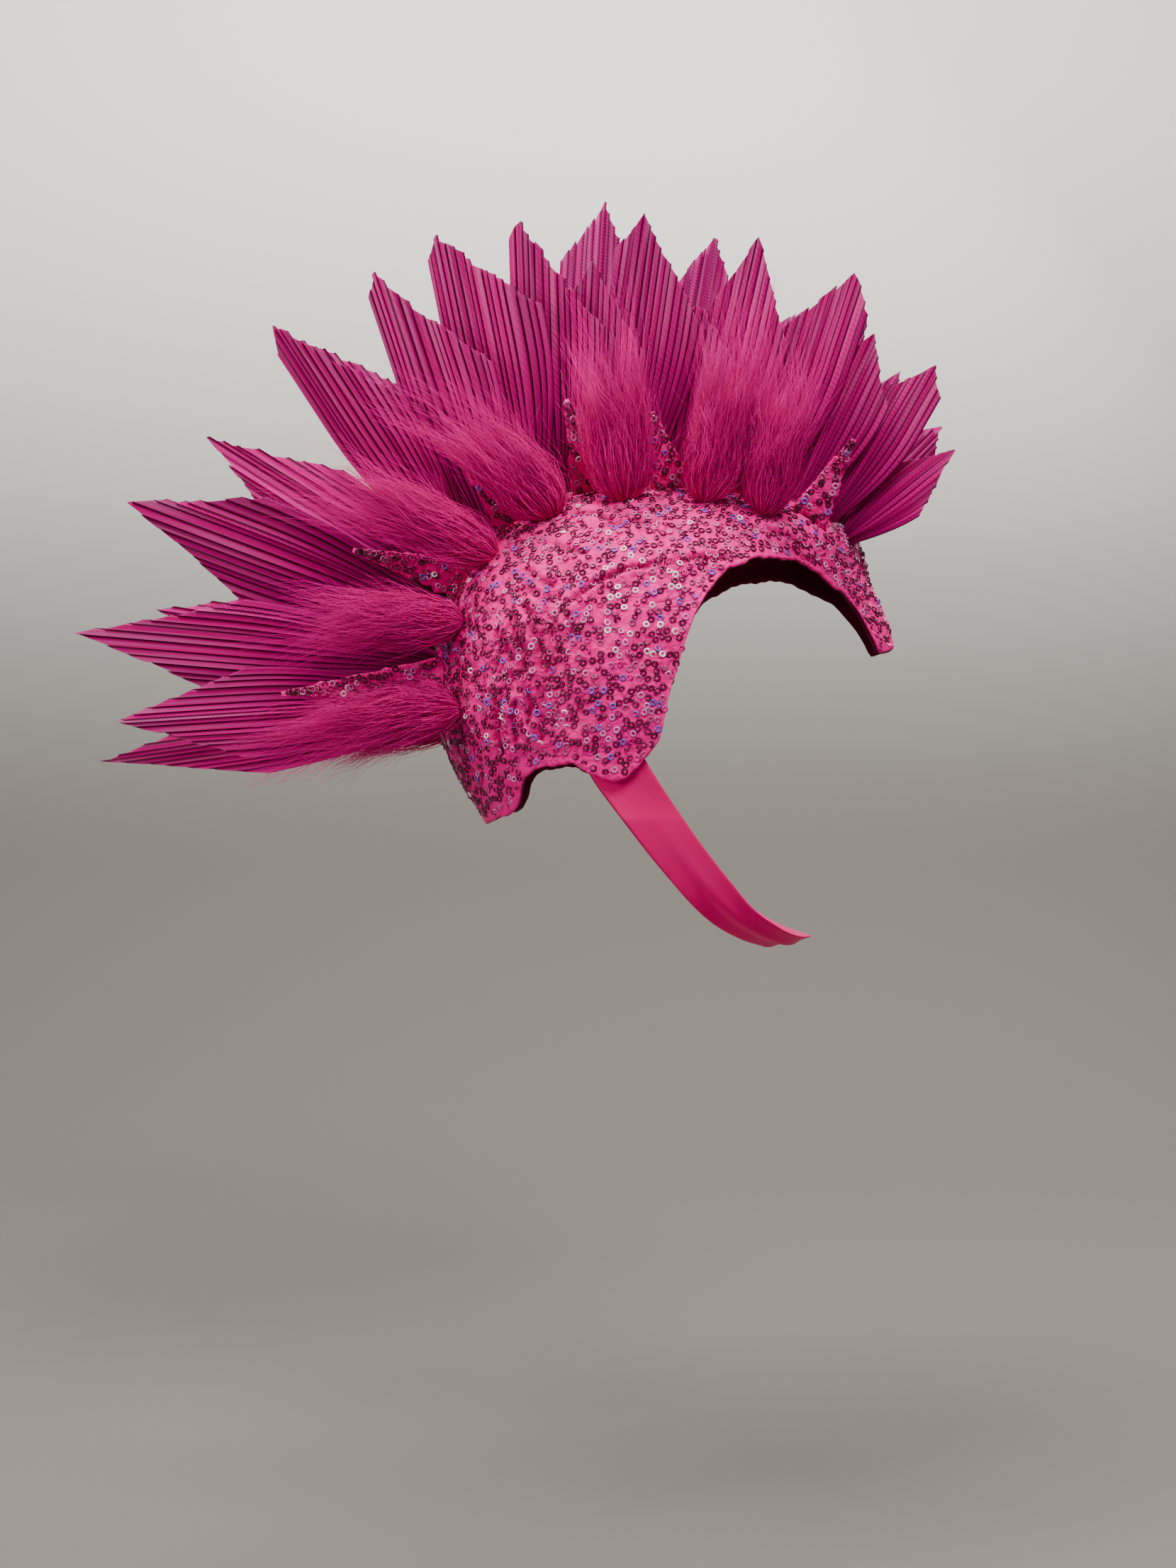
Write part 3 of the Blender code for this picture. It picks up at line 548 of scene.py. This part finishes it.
def rings_at(places, normals, tilt):
    """Loop sequins: a three-sided tube round a circle, turned to each normal and tipped
    by a random angle."""
    count = len(places)
    normals = normals + chance.normal(0.0, tilt, (count, 3))
    normals = normals / np.linalg.norm(normals, axis=1, keepdims=True)
    first = np.cross(normals, [0.3, 0.5, 0.81])
    first = first / np.linalg.norm(first, axis=1, keepdims=True)
    second = np.cross(normals, first)
    turn = 2.0 * np.pi * np.arange(RING_CORNERS) / RING_CORNERS
    reach = RING_REACH + RING_BREADTH * np.array([-1.0, 1.0, 0.0])
    rise = RING_HEIGHT * np.array([-1.0, -1.0, 1.5])
    sized = chance.uniform(0.92, 1.06, (count, 1, 1, 1))
    flat = (np.cos(turn)[:, None, None] * first[:, None, None, :]
            + np.sin(turn)[:, None, None] * second[:, None, None, :])
    points = (places[:, None, None, :] + sized * flat * reach[:, None]
              + normals[:, None, None, :] * rise[:, None])
    around, section = np.meshgrid(np.arange(RING_CORNERS), np.arange(3), indexing="ij")
    ahead, beside = (around + 1) % RING_CORNERS, (section + 1) % 3
    unit = np.stack([around * 3 + section, ahead * 3 + section, ahead * 3 + beside,
                     around * 3 + beside], axis=-1).reshape(-1, 4)
    faces = (np.arange(count)[:, None, None] * 3 * RING_CORNERS + unit).reshape(-1, 4)
    picks = chance.choice(len(SEQUIN_TONES), count, p=SEQUIN_ODDS)
    tones = np.array([linear(code)[:3] for code in SEQUIN_TONES])[picks]
    # Painted glints: about one in six sequins in a patch at the middle of each side is drawn near
    # white.
    glint_zone = (places[:, 0] > -25) & (places[:, 0] < 22) & (np.abs(places[:, 2] + 62) < 26)
    pale = glint_zone & (chance.random(count) < 0.16)
    tones[pale] = linear("#FFF4FA")[:3]
    tones = tones * chance.uniform(0.8, 1.25, (count, 1))
    return points.reshape(-1, 3), faces, np.repeat(np.clip(tones, 0, 1), 3 * RING_CORNERS, axis=0)


def on_cloth(points):
    """Points moved to the wrinkled outside of the cap, with the way out there."""
    for _ in range(3):
        gap, away = beyond_cap(points)
        points = points - away * gap[..., None]
    return points + away * wrinkle(points)[..., None], away


def sequin_places(side, wanted):
    """Chains of sequins: walkers step along with a wandering heading, and stop beside
    another sequin or at the rim."""
    kept = np.zeros((0, 3))
    for _ in range(100):
        angle = side * chance.uniform(2.0, 178.0, WALKERS)
        share = chance.uniform(0.001, 1.0, WALKERS) ** np.repeat([0.62, 1.7], [46, 14])
        depth = rim_depth(angle) * share
        radius = cap_radius(angle, depth)
        turn = np.radians(angle)
        walkers = np.column_stack([radius * np.cos(turn), radius * np.sin(turn),
                                   CAP_WALL - depth])
        heading = chance.normal(0.0, 1.0, (WALKERS, 3))
        for _ in range(int(chance.integers(4, 11))):
            gap, away = beyond_cap(walkers)
            walkers = walkers - away * gap[:, None]
            angle = np.degrees(np.arctan2(np.abs(walkers[:, 1]), walkers[:, 0]))
            free = (CAP_WALL - walkers[:, 2] < rim_depth(angle) - 1.6)
            off = walkers[:, 1] * side
            rooted = (walkers[:, 2] > -14.0) & (off > 14.0) & (off < 29.0)
            free &= (off > 0.6) & ~rooted
            crowd = np.where(angle > 112.0, SEQUIN_CROWD_BEHIND, SEQUIN_CROWD)
            if len(kept):
                gaps = np.linalg.norm(walkers[:, None] - kept[None], axis=2).min(axis=1)
                free &= gaps > crowd
            pairs = np.linalg.norm(walkers[:, None] - walkers[None], axis=2)
            pairs[np.tril_indices(len(walkers))] = 99.0
            free &= pairs.min(axis=0) > crowd
            walkers, heading, away = walkers[free], heading[free], away[free]
            kept = np.concatenate([kept, walkers])
            if len(walkers) == 0 or len(kept) >= wanted:
                break
            heading = heading + chance.normal(0.0, 0.55, heading.shape)
            heading -= away * np.sum(heading * away, axis=1)[:, None]
            heading /= np.linalg.norm(heading, axis=1)[:, None]
            walkers = walkers + heading * SEQUIN_STEP
        if len(kept) >= wanted:
            break
    return kept


def build_cap_sequins(plastic):
    """Sequins of each half of the cap, lifted a little off the wrinkled cloth."""
    for side, word in ((NEAR, "right"), (FAR, "left")):
        places = sequin_places(side, SEQUINS_A_SIDE)
        lying, away = on_cloth(places)
        points, faces, tones = rings_at(lying + away * 0.35, away, 0.22)
        new_piece("cap_sequins_" + word, points, faces.tolist(), [plastic],
                  tone_and_painted_light=tones)


def build_strap(cloth):
    """Band along the strap's route: middle + across * place * width + facing * fold,
    laid on the inside of the cap at its ends, with edges turned in softly."""
    steps, places = 150, np.linspace(-0.5, 0.5, 21)
    share = np.concatenate([np.linspace(0, 1, steps), np.linspace(1, 0, steps)[1:]])
    side = np.concatenate([np.ones(steps), -np.ones(steps - 1)])
    forward, sideways, drop, width, turn = smooth_table(STRAP_ROUTE, share)
    middle = np.column_stack([forward * STRAP_FORWARD, side * sideways * HALF_WIDTH,
                              -drop * STRAP_DROP])
    facing = np.column_stack([0.25 * turn, side * (1.0 - turn), -turn])
    facing /= np.linalg.norm(facing, axis=1)[:, None]
    ahead = np.gradient(middle, axis=0)
    ahead /= np.linalg.norm(ahead, axis=1)[:, None]
    across = np.cross(ahead, facing)
    across /= np.linalg.norm(across, axis=1)[:, None]
    rise = 1.6 * np.clip(share * 14.0 / 4.0 - 1.0, 0.0, 1.0)
    fold = smooth_table(STRAP_SECTION, places)[0] + 0.10 * np.sin(places * 9.0)
    ripple = 0.12 * np.sin(np.cumsum(np.full(len(share), 0.19)))
    points = (middle[:, None] + across[:, None] * (places[:, None] * width[:, None, None]
                                                   * STRAP_WIDTH)
              + facing[:, None] * ((fold * rise[:, None]) + ripple[:, None] * places)[..., None])
    moved = points.copy()
    for _ in range(8):
        gap, _ = beyond_cap(moved)
        moved[..., 1] -= side[:, None] * (gap + CAP_WALL + STRAP_GAP)
    tuck = np.clip((points[..., 2] + 0.97 * CAP_DEPTH) / (0.10 * CAP_DEPTH), 0.0, 1.0)
    points += (moved - points) * tuck[..., None]
    faces = grid_faces(len(places), len(share))
    strap = new_piece("strap_band", points.reshape(-1, 3), faces.tolist(), [cloth])
    wall = strap.modifiers.new("wall", "SOLIDIFY")
    wall.thickness = STRAP_WALL * MM
    wall.offset = 0.0
    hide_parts("chin_strap")
    return strap


def build_stage():
    """Pale floor that sweeps up into a wall, with painted light falloff that darkens it low down,
    soft lights above and a level camera.
    """
    scene = bpy.context.scene
    material, tree, output = new_material("backdrop")
    height = node(tree, "SeparateXYZ", {"Vector": node(tree, "TexCoord").outputs["Object"]})
    # Painted light falloff: the backdrop is drawn lighter towards the top and darker low down.
    rise = node(tree, "MapRange", {"Value": height.outputs["Z"], "From Min": -0.25,
                                   "From Max": 0.75}, interpolation_type="SMOOTHSTEP")
    painted_light_falloff = node(tree, "MixRGB", {"Fac": rise.outputs["Result"], "Color1": linear("#6C6862"),
                                  "Color2": linear("#FFFFFA")})
    shader = node(tree, "BsdfPrincipled", {"Base Color": painted_light_falloff.outputs["Color"],
                                           "Roughness": 0.9})
    tree.links.new(shader.outputs[0], output.inputs["Surface"])
    bend = np.linspace(0.0, np.pi / 2, 13)
    profile = np.concatenate([[[-3.0, -0.50]],
                              np.column_stack([0.7 + 0.6 * np.sin(bend),
                                               0.10 - 0.6 * np.cos(bend)]),
                              [[1.3, 2.6]]])
    points = np.concatenate([np.column_stack([np.full(len(profile), x), profile])
                             for x in (-3.5, 3.5)])
    mesh = bpy.data.meshes.new("backdrop")
    mesh.from_pydata(points.tolist(), [], grid_faces(len(profile), 2).tolist())
    mesh.materials.append(material)
    mesh.polygons.foreach_set("use_smooth", np.full(len(mesh.polygons), True))
    floor = bpy.data.objects.new("backdrop", mesh)
    scene.collection.objects.link(floor)

    for name, place, aim, size, power in (
            ("key_light", (0.45, -1.1, 1.2), (0.0, 0.0, -0.05), 0.5, 32.0),
            ("top_light", (-0.45, -0.35, 1.4), (0.0, 0.0, -0.05), 0.5, 28.0),
            ("side_light", (-1.3, -0.9, 0.2), (0.0, 0.0, -0.05), 0.7, 13.0),
            ("back_light", (0.9, 0.8, 0.7), (0.05, 0.0, 0.05), 0.4, 12.0),
            ("wall_light", (-0.1, 0.1, 1.6), (-0.2, 1.3, 0.7), 0.6, 17.5)):
        lamp = bpy.data.lights.new(name, "AREA")
        lamp.energy = power
        lamp.size = size
        lamp.color = (1.0, 0.97, 0.94)
        light = bpy.data.objects.new(name, lamp)
        light.location = place
        light.rotation_mode = "QUATERNION"
        light.rotation_quaternion = (Vector(aim) - Vector(place)).to_track_quat("-Z", "Y")
        scene.collection.objects.link(light)
    world = bpy.data.worlds.new("room")
    world.use_nodes = True
    background = world.node_tree.nodes["Background"]
    background.inputs["Color"].default_value = linear("#E4E8EC")
    background.inputs["Strength"].default_value = 0.37
    scene.world = world

    camera = bpy.data.objects.new("camera", bpy.data.cameras.new("camera"))
    camera.data.lens = 41.9
    camera.data.sensor_width = 36.0
    camera.location = (-0.0264, -0.9, -0.144)
    camera.rotation_euler = (np.pi / 2, 0.0, 0.0)
    scene.collection.objects.link(camera)
    scene.camera = camera


def turned(axis, degrees):
    """Rotation matrix about x, y or z."""
    first, second = ((1, 2), (2, 0), (0, 1))[axis]
    cosine, sine = np.cos(np.radians(degrees)), np.sin(np.radians(degrees))
    matrix = np.eye(3)
    matrix[first, first] = matrix[second, second] = cosine
    matrix[first, second], matrix[second, first] = -sine, sine
    return matrix


def standing(root, lean, row, splay, side, twist=0.0):
    """Root on the cap, and rows of axes: to the back, outwards and along the piece."""
    angle = np.radians(root)
    ray = np.array([-np.sin(angle), 0.0, np.cos(angle)])
    start = np.array([0.0, side * row, -CREST_CENTRE])
    near, far = 0.0, 2.0 * PEAK_REACH
    for _ in range(30):
        middle = 0.5 * (near + far)
        if beyond_cap(start + ray * middle)[0] > 0.0:
            far = middle
        else:
            near = middle
    axes = turned(1, -lean) @ turned(0, -side * splay) @ turned(2, side * twist)
    return start + ray * far, (axes @ np.diag([-1.0, side, 1.0])).T


def seat(local, place, axes, clearance):
    """Slide points along the piece until they stand just clear of the cap."""
    near, far = np.full(len(local), -14.0), np.full(len(local), 30.0)
    for _ in range(24):
        middle = 0.5 * (near + far)
        tried = np.column_stack([local[:, :2], middle]) @ axes + place
        clear = beyond_cap(tried)[0] > clearance
        far, near = np.where(clear, middle, far), np.where(clear, near, middle)
    return far


def kept_out(points, clearance):
    """Move points that would be inside the cap out along its slope."""
    gap, away = beyond_cap(points)
    return points + away * np.maximum(clearance - gap, 0.0)[..., None]


PLEAT_PHASES = np.array([0.0, 0.20, 0.80, 0.91])
PLEAT_HEIGHTS = np.array([-1.25, 0.20, 1.15, -0.2])
PLEAT_PAINTED_SHADES = np.array([0.16, 0.80, 1.0, 0.46])
PLEATS = 15


def leaf(row, side):
    """One leaf: knife pleats of uneven width fan out from the root by a sine of the
    length, and each ends where the cut edge falls, with a small jag at every pleat."""
    root, lean, length_share, width_share, tip, front_loss, back_loss = row
    place, axes = standing(root, lean, SPEAR_ROW, SPEAR_SPLAY, side, SPEAR_TWIST)
    length = SPEAR_LENGTH * length_share
    half_width = 0.5 * SPEAR_WIDTH * width_share
    pleat = np.repeat(np.arange(PLEATS), 4)
    phase = np.tile(PLEAT_PHASES, PLEATS)
    folds = np.cumsum(chance.uniform(0.55, 1.45, PLEATS))
    folds = np.concatenate([[0.0], folds / folds[-1]])
    across = 2.0 * (folds[pleat] + phase * np.diff(folds)[pleat]) - 1.0
    across = np.append(across, 1.0)
    height = np.append(np.tile(PLEAT_HEIGHTS, PLEATS), -1.0)
    height = height * np.append(chance.uniform(0.55, 1.4, PLEATS)[pleat], 1.0)
    back = across > tip
    reach = np.where(back, (across - tip) / (1.0 - tip), (tip - across) / (1.0 + tip))
    loss = np.where(back, back_loss, front_loss) * reach ** 0.92
    jag = np.append(chance.uniform(-0.008, 0.018, PLEATS)[pleat] + 0.008 * phase, 0.0)
    end = length * (1.0 - np.clip(loss + jag, 0.0, 0.9))
    share = np.concatenate([np.linspace(0.0, 0.97, 13), [0.985, 1.0]])
    foot = seat(np.column_stack([across * half_width * 0.26, height * 0.5,
                                 np.zeros(len(across))]), place, axes, 0.75)
    z = foot + (end - foot) * share[:, None]
    spread = 0.26 + 0.74 * np.sin(0.5 * np.pi * np.clip(z / length / 0.6, 0.0, 1.0))
    depth = 1.0 - 0.25 * spread
    sway = chance.uniform(-1.0, 1.0, 3)
    rise = np.clip(z / length, 0.0, 1.0)
    y = height * depth + 1.3 * sway[0] * rise ** 2 + sway[1] * across * rise
    y = y + 0.7 * np.sin(across * 5.0 + rise * 4.0 + sway[2] * 3.0) * rise * (1.0 - 0.3 * rise)
    local = np.stack([across * half_width * spread, y, z], axis=-1)
    cut = np.clip((share[:, None] * (end - foot) - (end - foot) + 1.5) / 1.5, 0.0, 1.0)
    edge = 0.55 * cut * chance.uniform(0.0, 1.0, len(across)) * np.ones_like(z)
    drawn = across * PLEATS * 0.5 + chance.uniform(0.0, 90.0)
    uv = np.stack([np.broadcast_to(drawn, z.shape), z / length], axis=-1)
    # Painted shade: dark lines in the pleat valleys, and darker towards the root where the leaves
    # crowd, with random variation per pleat and per leaf.
    shade = np.append(np.tile(PLEAT_PAINTED_SHADES, PLEATS), 0.4)
    shade = shade * np.append(chance.uniform(0.72, 1.1, PLEATS)[pleat], 1.0)
    shade = shade * chance.uniform(0.78, 1.0) * (0.50 + 0.50 * np.clip(1.6 * rise, 0.0, 1.0))
    shade = np.clip(shade, 0.0, 1.0)
    tone_and_painted_light = np.repeat(shade.reshape(-1, 1), 3, axis=1)
    return (local @ axes + place).reshape(-1, 3), edge.ravel(), uv.reshape(-1, 2), tone_and_painted_light


def build_leaves(cloth):
    """The leaves of each row as one piece, with a thin wall."""
    columns, rows = 4 * PLEATS + 1, 15
    unit = grid_faces(columns, rows)
    for side, word, table in ((NEAR, "right", NEAR_SPEARS), (FAR, "left", FAR_SPEARS)):
        parts = [leaf(row, side) for row in table]
        points = np.concatenate([part[0] for part in parts])
        edge = np.concatenate([part[1] for part in parts])
        uv = np.concatenate([part[2] for part in parts])
        starts = np.arange(len(table))[:, None, None] * columns * rows
        faces = (unit + starts).reshape(-1, 4)
        leaves = new_piece("spears_" + word, points, faces.tolist(), [cloth],
                           smooth=False, uv=uv, edge=edge,
                           tone_and_painted_light=np.concatenate([part[3] for part in parts]))
        wall = leaves.modifiers.new("wall", "SOLIDIFY")
        wall.thickness = LEAF_WALL * MM
        wall.offset = 0.0
        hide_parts(*[f"spear_{word}_{k:02d}" for k in range(1, len(table) + 1)])


def spike_width(share):
    """Half width of a spike along its length."""
    return 0.5 * SPIKE_WIDTH * (1.08 - share) ** 0.9


def build_spikes(cloth, plastic):
    """Thin satin triangles with ragged edges, and wavering lines of sequins on each."""
    columns, rows = 13, 26
    unit = grid_faces(columns, rows)
    for side, word in ((NEAR, "right"), (FAR, "left")):
        points, spots, faces_out = [], [], []
        for root, lean, length_share in SPIKES:
            place, axes = standing(root, lean, SPIKE_ROW, SPIKE_SPLAY, side)
            length = SPIKE_LENGTH * length_share
            across = np.linspace(-1.0, 1.0, columns)
            share = np.linspace(0.0, 1.0, rows)[:, None]
            ragged = 1.0 + 0.09 * chance.normal(0.0, 1.0, (rows, columns)) * np.abs(across) ** 6
            x = across * spike_width(share) * ragged
            foot = seat(np.column_stack([x[0], np.zeros(columns), np.zeros(columns)]),
                        place, axes, 0.9)
            z = foot + (length - foot) * share
            curl = 0.6 * np.sin(z / length * 5.0 + root) - 1.2 * across ** 2 * (1.0 - share)
            local = np.stack([x, curl, z * np.ones_like(x)], axis=-1)
            points.append((local @ axes + place).reshape(-1, 3))
            count = int(length / 1.15)
            along = np.linspace(0.03, 0.96, count) ** 1.15
            sway = 0.9 * np.sin(np.arange(count) * 2.3 + root) + chance.normal(0.0, 0.15, count)
            wide = np.maximum(spike_width(along) - 1.2, 0.4)
            height = 0.6 * np.sin(along * 5.0 + root) - 1.2 * sway ** 2 * (1 - along) + 1.0
            spots.append(np.column_stack([np.clip(sway, -1, 1) * wide, height,
                                          along * length]) @ axes + place)
            faces_out.append(np.tile(axes[1], (count, 1)))
        starts = np.arange(len(SPIKES))[:, None, None] * columns * rows
        spikes = new_piece("spikes_" + word, np.concatenate(points),
                           (unit + starts).reshape(-1, 4).tolist(), [cloth])
        wall = spikes.modifiers.new("wall", "SOLIDIFY")
        wall.thickness = SPIKE_WALL * MM
        wall.offset = 0.0
        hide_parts(*[f"spike_{word}_{k}" for k in range(1, len(SPIKES) + 1)])
        places = kept_out(np.concatenate(spots), 2.2)
        rings, faces, tones = rings_at(places, np.concatenate(faces_out), 0.25)
        new_piece("spike_sequins_" + word, rings, faces.tolist(), [plastic],
                  tone_and_painted_light=tones)


def strands(paths, widths):
    """Three-sided tubes along paths of shape (strand, station, 3); each station has a
    width, and the two ends are closed."""
    count, stations, _ = paths.shape
    ahead = np.gradient(paths, axis=1)
    ahead /= np.maximum(np.linalg.norm(ahead, axis=2, keepdims=True), 1e-9)
    first = np.cross(ahead, [0.37, -0.21, 0.90])
    first /= np.maximum(np.linalg.norm(first, axis=2, keepdims=True), 1e-9)
    second = np.cross(ahead, first)
    turn = 2.0 * np.pi * np.arange(3) / 3
    ring = (np.cos(turn)[:, None] * first[:, :, None] + np.sin(turn)[:, None] * second[:, :, None])
    points = paths[:, :, None] + 0.5 * widths[:, :, None, None] * ring
    quads = grid_faces(3, stations, closed=True)
    starts = np.arange(count)[:, None, None] * stations * 3
    last = 3 * (stations - 1)
    ends = np.array([[0, 2, 1], [last, last + 1, last + 2]])
    faces = (quads + starts).reshape(-1, 4).tolist() + (ends + starts).reshape(-1, 3).tolist()
    return points.reshape(-1, 3), faces


def curve(controls, stations):
    """Cubic curves through their four control points of shape (curve, 4, 3)."""
    t = np.linspace(0.0, 1.0, stations)[:, None]
    weights = np.concatenate([(1 - t) ** 3, 3 * t * (1 - t) ** 2, 3 * t * t * (1 - t), t ** 3],
                             axis=1)
    return np.einsum("sk,nkd->nsd", weights, controls)


LOCKS = 26                # locks in a tuft
STATIONS = 6              # points along a barb
DEEP, BRIGHT = np.array(linear("#A80058")[:3]), np.array(linear("#FF00AA")[:3])


def tuft(row, side, count, loose):
    """Barbs of one tuft: each leaves the root, swells out low down with the egg's half
    width and streams up to the point of its lock. Loose barbs are thinner and longer."""
    root, lean, length_share, width_share, curl = row
    place, axes = standing(root, lean, TUFT_ROW, TUFT_SPLAY, side)
    length = TUFT_LENGTH * length_share
    lock = chance.integers(0, LOCKS, count)
    heading = chance.uniform(0.0, 2.0 * np.pi, LOCKS)[lock]
    turn = heading + chance.normal(0.0, 0.40, count)
    depth = np.sqrt(chance.uniform(0.02, 1.0, count))
    top = chance.uniform(0.60, 1.60 if loose else 1.20, LOCKS)[lock]
    top = top * (1.0 - 0.40 * chance.random(count) ** 2)
    half = np.column_stack([0.50 * TUFT_WIDTH * width_share * depth * np.cos(turn),
                            0.56 * TUFT_THICKNESS * depth * np.sin(turn)])
    drift = chance.normal(0.0, 6.0 if loose else 3.0, (LOCKS, 2))[lock] * np.array([1.0, 0.3])
    stray = chance.normal(0.0, 1.0, (count, 4, 3)) * np.array([1.0, 0.6, 1.0])
    tip = np.column_stack([0.40 * TUFT_WIDTH * width_share * np.cos(heading),
                           0.40 * TUFT_THICKNESS * np.sin(heading)]) + drift
    tip = tip * chance.uniform(0.7, 1.2, (count, 1))
    controls = np.zeros((count, 4, 3))
    controls[:, 0, :2] = 0.35 * half
    controls[:, 1, :2] = 1.45 * half
    controls[:, 2, :2] = 0.80 * half + 0.4 * drift
    controls[:, 3, :2] = 0.2 * half + tip
    controls[:, :, 2] = length * top[:, None] * np.array([0.0, 0.22, 0.62, 1.0])
    controls[:, 1:] += stray[:, 1:] * np.array([0.5, 0.9, 2.2])[:, None]
    controls[:, :, 0] += curl * length * (controls[:, :, 2] / length) ** 2
    local = curve(controls, STATIONS)
    waves = np.sin(local[..., 2:] * chance.uniform(0.10, 0.24, (LOCKS, 1))[lock][:, None]
                   + chance.uniform(0.0, 6.28, (LOCKS, 1, 2))[lock])
    local[..., :2] += waves * np.linspace(0.0, 3.0, STATIONS)[:, None]
    local[:, 2:, :2] += chance.normal(0.0, 1.0 if loose else 0.7, (count, 4, 2))
    local[..., 1] -= 15.0 * np.clip(local[..., 2] / length - 0.45, 0.0, 1.2) ** 1.3
    paths = local @ axes + place
    start = paths[:, 0]
    paths[:, 0] = start - beyond_cap(start)[1] * (beyond_cap(start)[0] - 0.4)[:, None]
    paths = kept_out(paths, 0.5)
    along = np.linspace(0.0, 1.0, STATIONS)
    widths = (0.30 if loose else 0.46) * (1.0 - 0.8 * along) * np.ones((count, 1))
    # Painted light and shade: barbs are lighter low down and on the outside of the tuft, darker
    # inside and towards the tips; the loose wisps are drawn lighter, and each lock and barb gets a
    # random tone.
    light = np.clip(0.75 - 0.35 * along + 0.45 * (depth[:, None] - 0.6) + 0.3 * loose
                    + chance.normal(0.0, 0.20, LOCKS)[lock][:, None]
                    + chance.normal(0.0, 0.10, (count, 1)), 0.0, 1.0)[..., None]
    tones = np.repeat(DEEP + (BRIGHT - DEEP) * light, 3, axis=1).reshape(-1, 3)
    return paths, widths, tones


def tuft_core(row, side):
    """Closed egg inside the barbs, so that no light shows through the tuft."""
    root, lean, length_share, width_share, curl = row
    place, axes = standing(root, lean, TUFT_ROW, TUFT_SPLAY, side)
    length = TUFT_LENGTH * length_share
    rise = np.linspace(0.06, np.pi - 0.12, 14)[:, None]
    turn = 2.0 * np.pi * np.arange(20) / 20
    height = 0.5 - 0.5 * np.cos(rise)
    waist = np.sin(rise) * (1.0 - 0.45 * height) * (0.70 + 0.10 * np.cos(turn * 5 + rise * 4))
    x = 0.5 * TUFT_WIDTH * width_share * waist * np.cos(turn)
    x = x + curl * length * (0.50 * height) ** 2
    y = 0.5 * TUFT_THICKNESS * waist * np.sin(turn)
    z = 0.50 * length * height * np.ones_like(turn)
    ends = np.array([[0.0, 0.0, 0.0], [curl * length * 0.25, 0.0, 0.505 * length]])
    local = np.concatenate([np.stack([x, y, z], axis=-1).reshape(-1, 3), ends])
    quads = grid_faces(20, 14, closed=True)
    around = np.arange(20)
    beside = (around + 1) % 20
    low = np.column_stack([around, np.full(20, 280), beside])
    high = np.column_stack([260 + around, 260 + beside, np.full(20, 281)])
    return kept_out(local @ axes + place, 0.4), quads.tolist() + low.tolist() + high.tolist()


def build_tufts(down):
    """Barbs and cores of the tufts of each row, and their loose wisps as a second piece."""
    for side, word, full, loose in ((NEAR, "right", 600, 330), (FAR, "left", 320, 160)):
        parts = [tuft(row, side, full, False) for row in TUFTS]
        points, faces = strands(np.concatenate([part[0] for part in parts]),
                                np.concatenate([part[1] for part in parts]))
        tones = np.concatenate([part[2] for part in parts])
        for row in TUFTS:
            egg, egg_faces = tuft_core(row, side)
            offset = len(points)
            points = np.concatenate([points, egg])
            faces = faces + [[k + offset for k in face] for face in egg_faces]
            tones = np.concatenate([tones, np.tile(0.6 * DEEP + 0.4 * BRIGHT, (len(egg), 1))])
        tufts = new_piece("tufts_" + word, points, faces, [down], tone_and_painted_light=tones)
        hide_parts(*[f"tuft_{word}_{k}" for k in range(1, len(TUFTS) + 1)])
        parts = [tuft(row, side, loose, True) for row in TUFTS]
        points, faces = strands(np.concatenate([part[0] for part in parts]),
                                np.concatenate([part[1] for part in parts]))
        new_piece("wisps_" + word, points, faces, [down],
                  tone_and_painted_light=np.concatenate([part[2] for part in parts]))


cap_satin = satin("sequinned_satin", "#FA0098", "#D8006C", 0.42, 150.0, crumple=0.55)
# Darker copy of the pink satin for the inside of the cap and its rolled hem: painted shade.
shaded_inside = satin("shaded_inside", "#64002E", "#480020", 0.60, 150.0)
strap_satin = satin("strap_satin", "#E80074", "#DC0068", 0.50, 150.0)
plastic = sequin_plastic()
build_cap(cap_satin, shaded_inside)
build_cap_sequins(plastic)
build_strap(strap_satin)
build_leaves(pleated_cloth())
build_spikes(cap_satin, plastic)
build_tufts(feather())
build_stage()
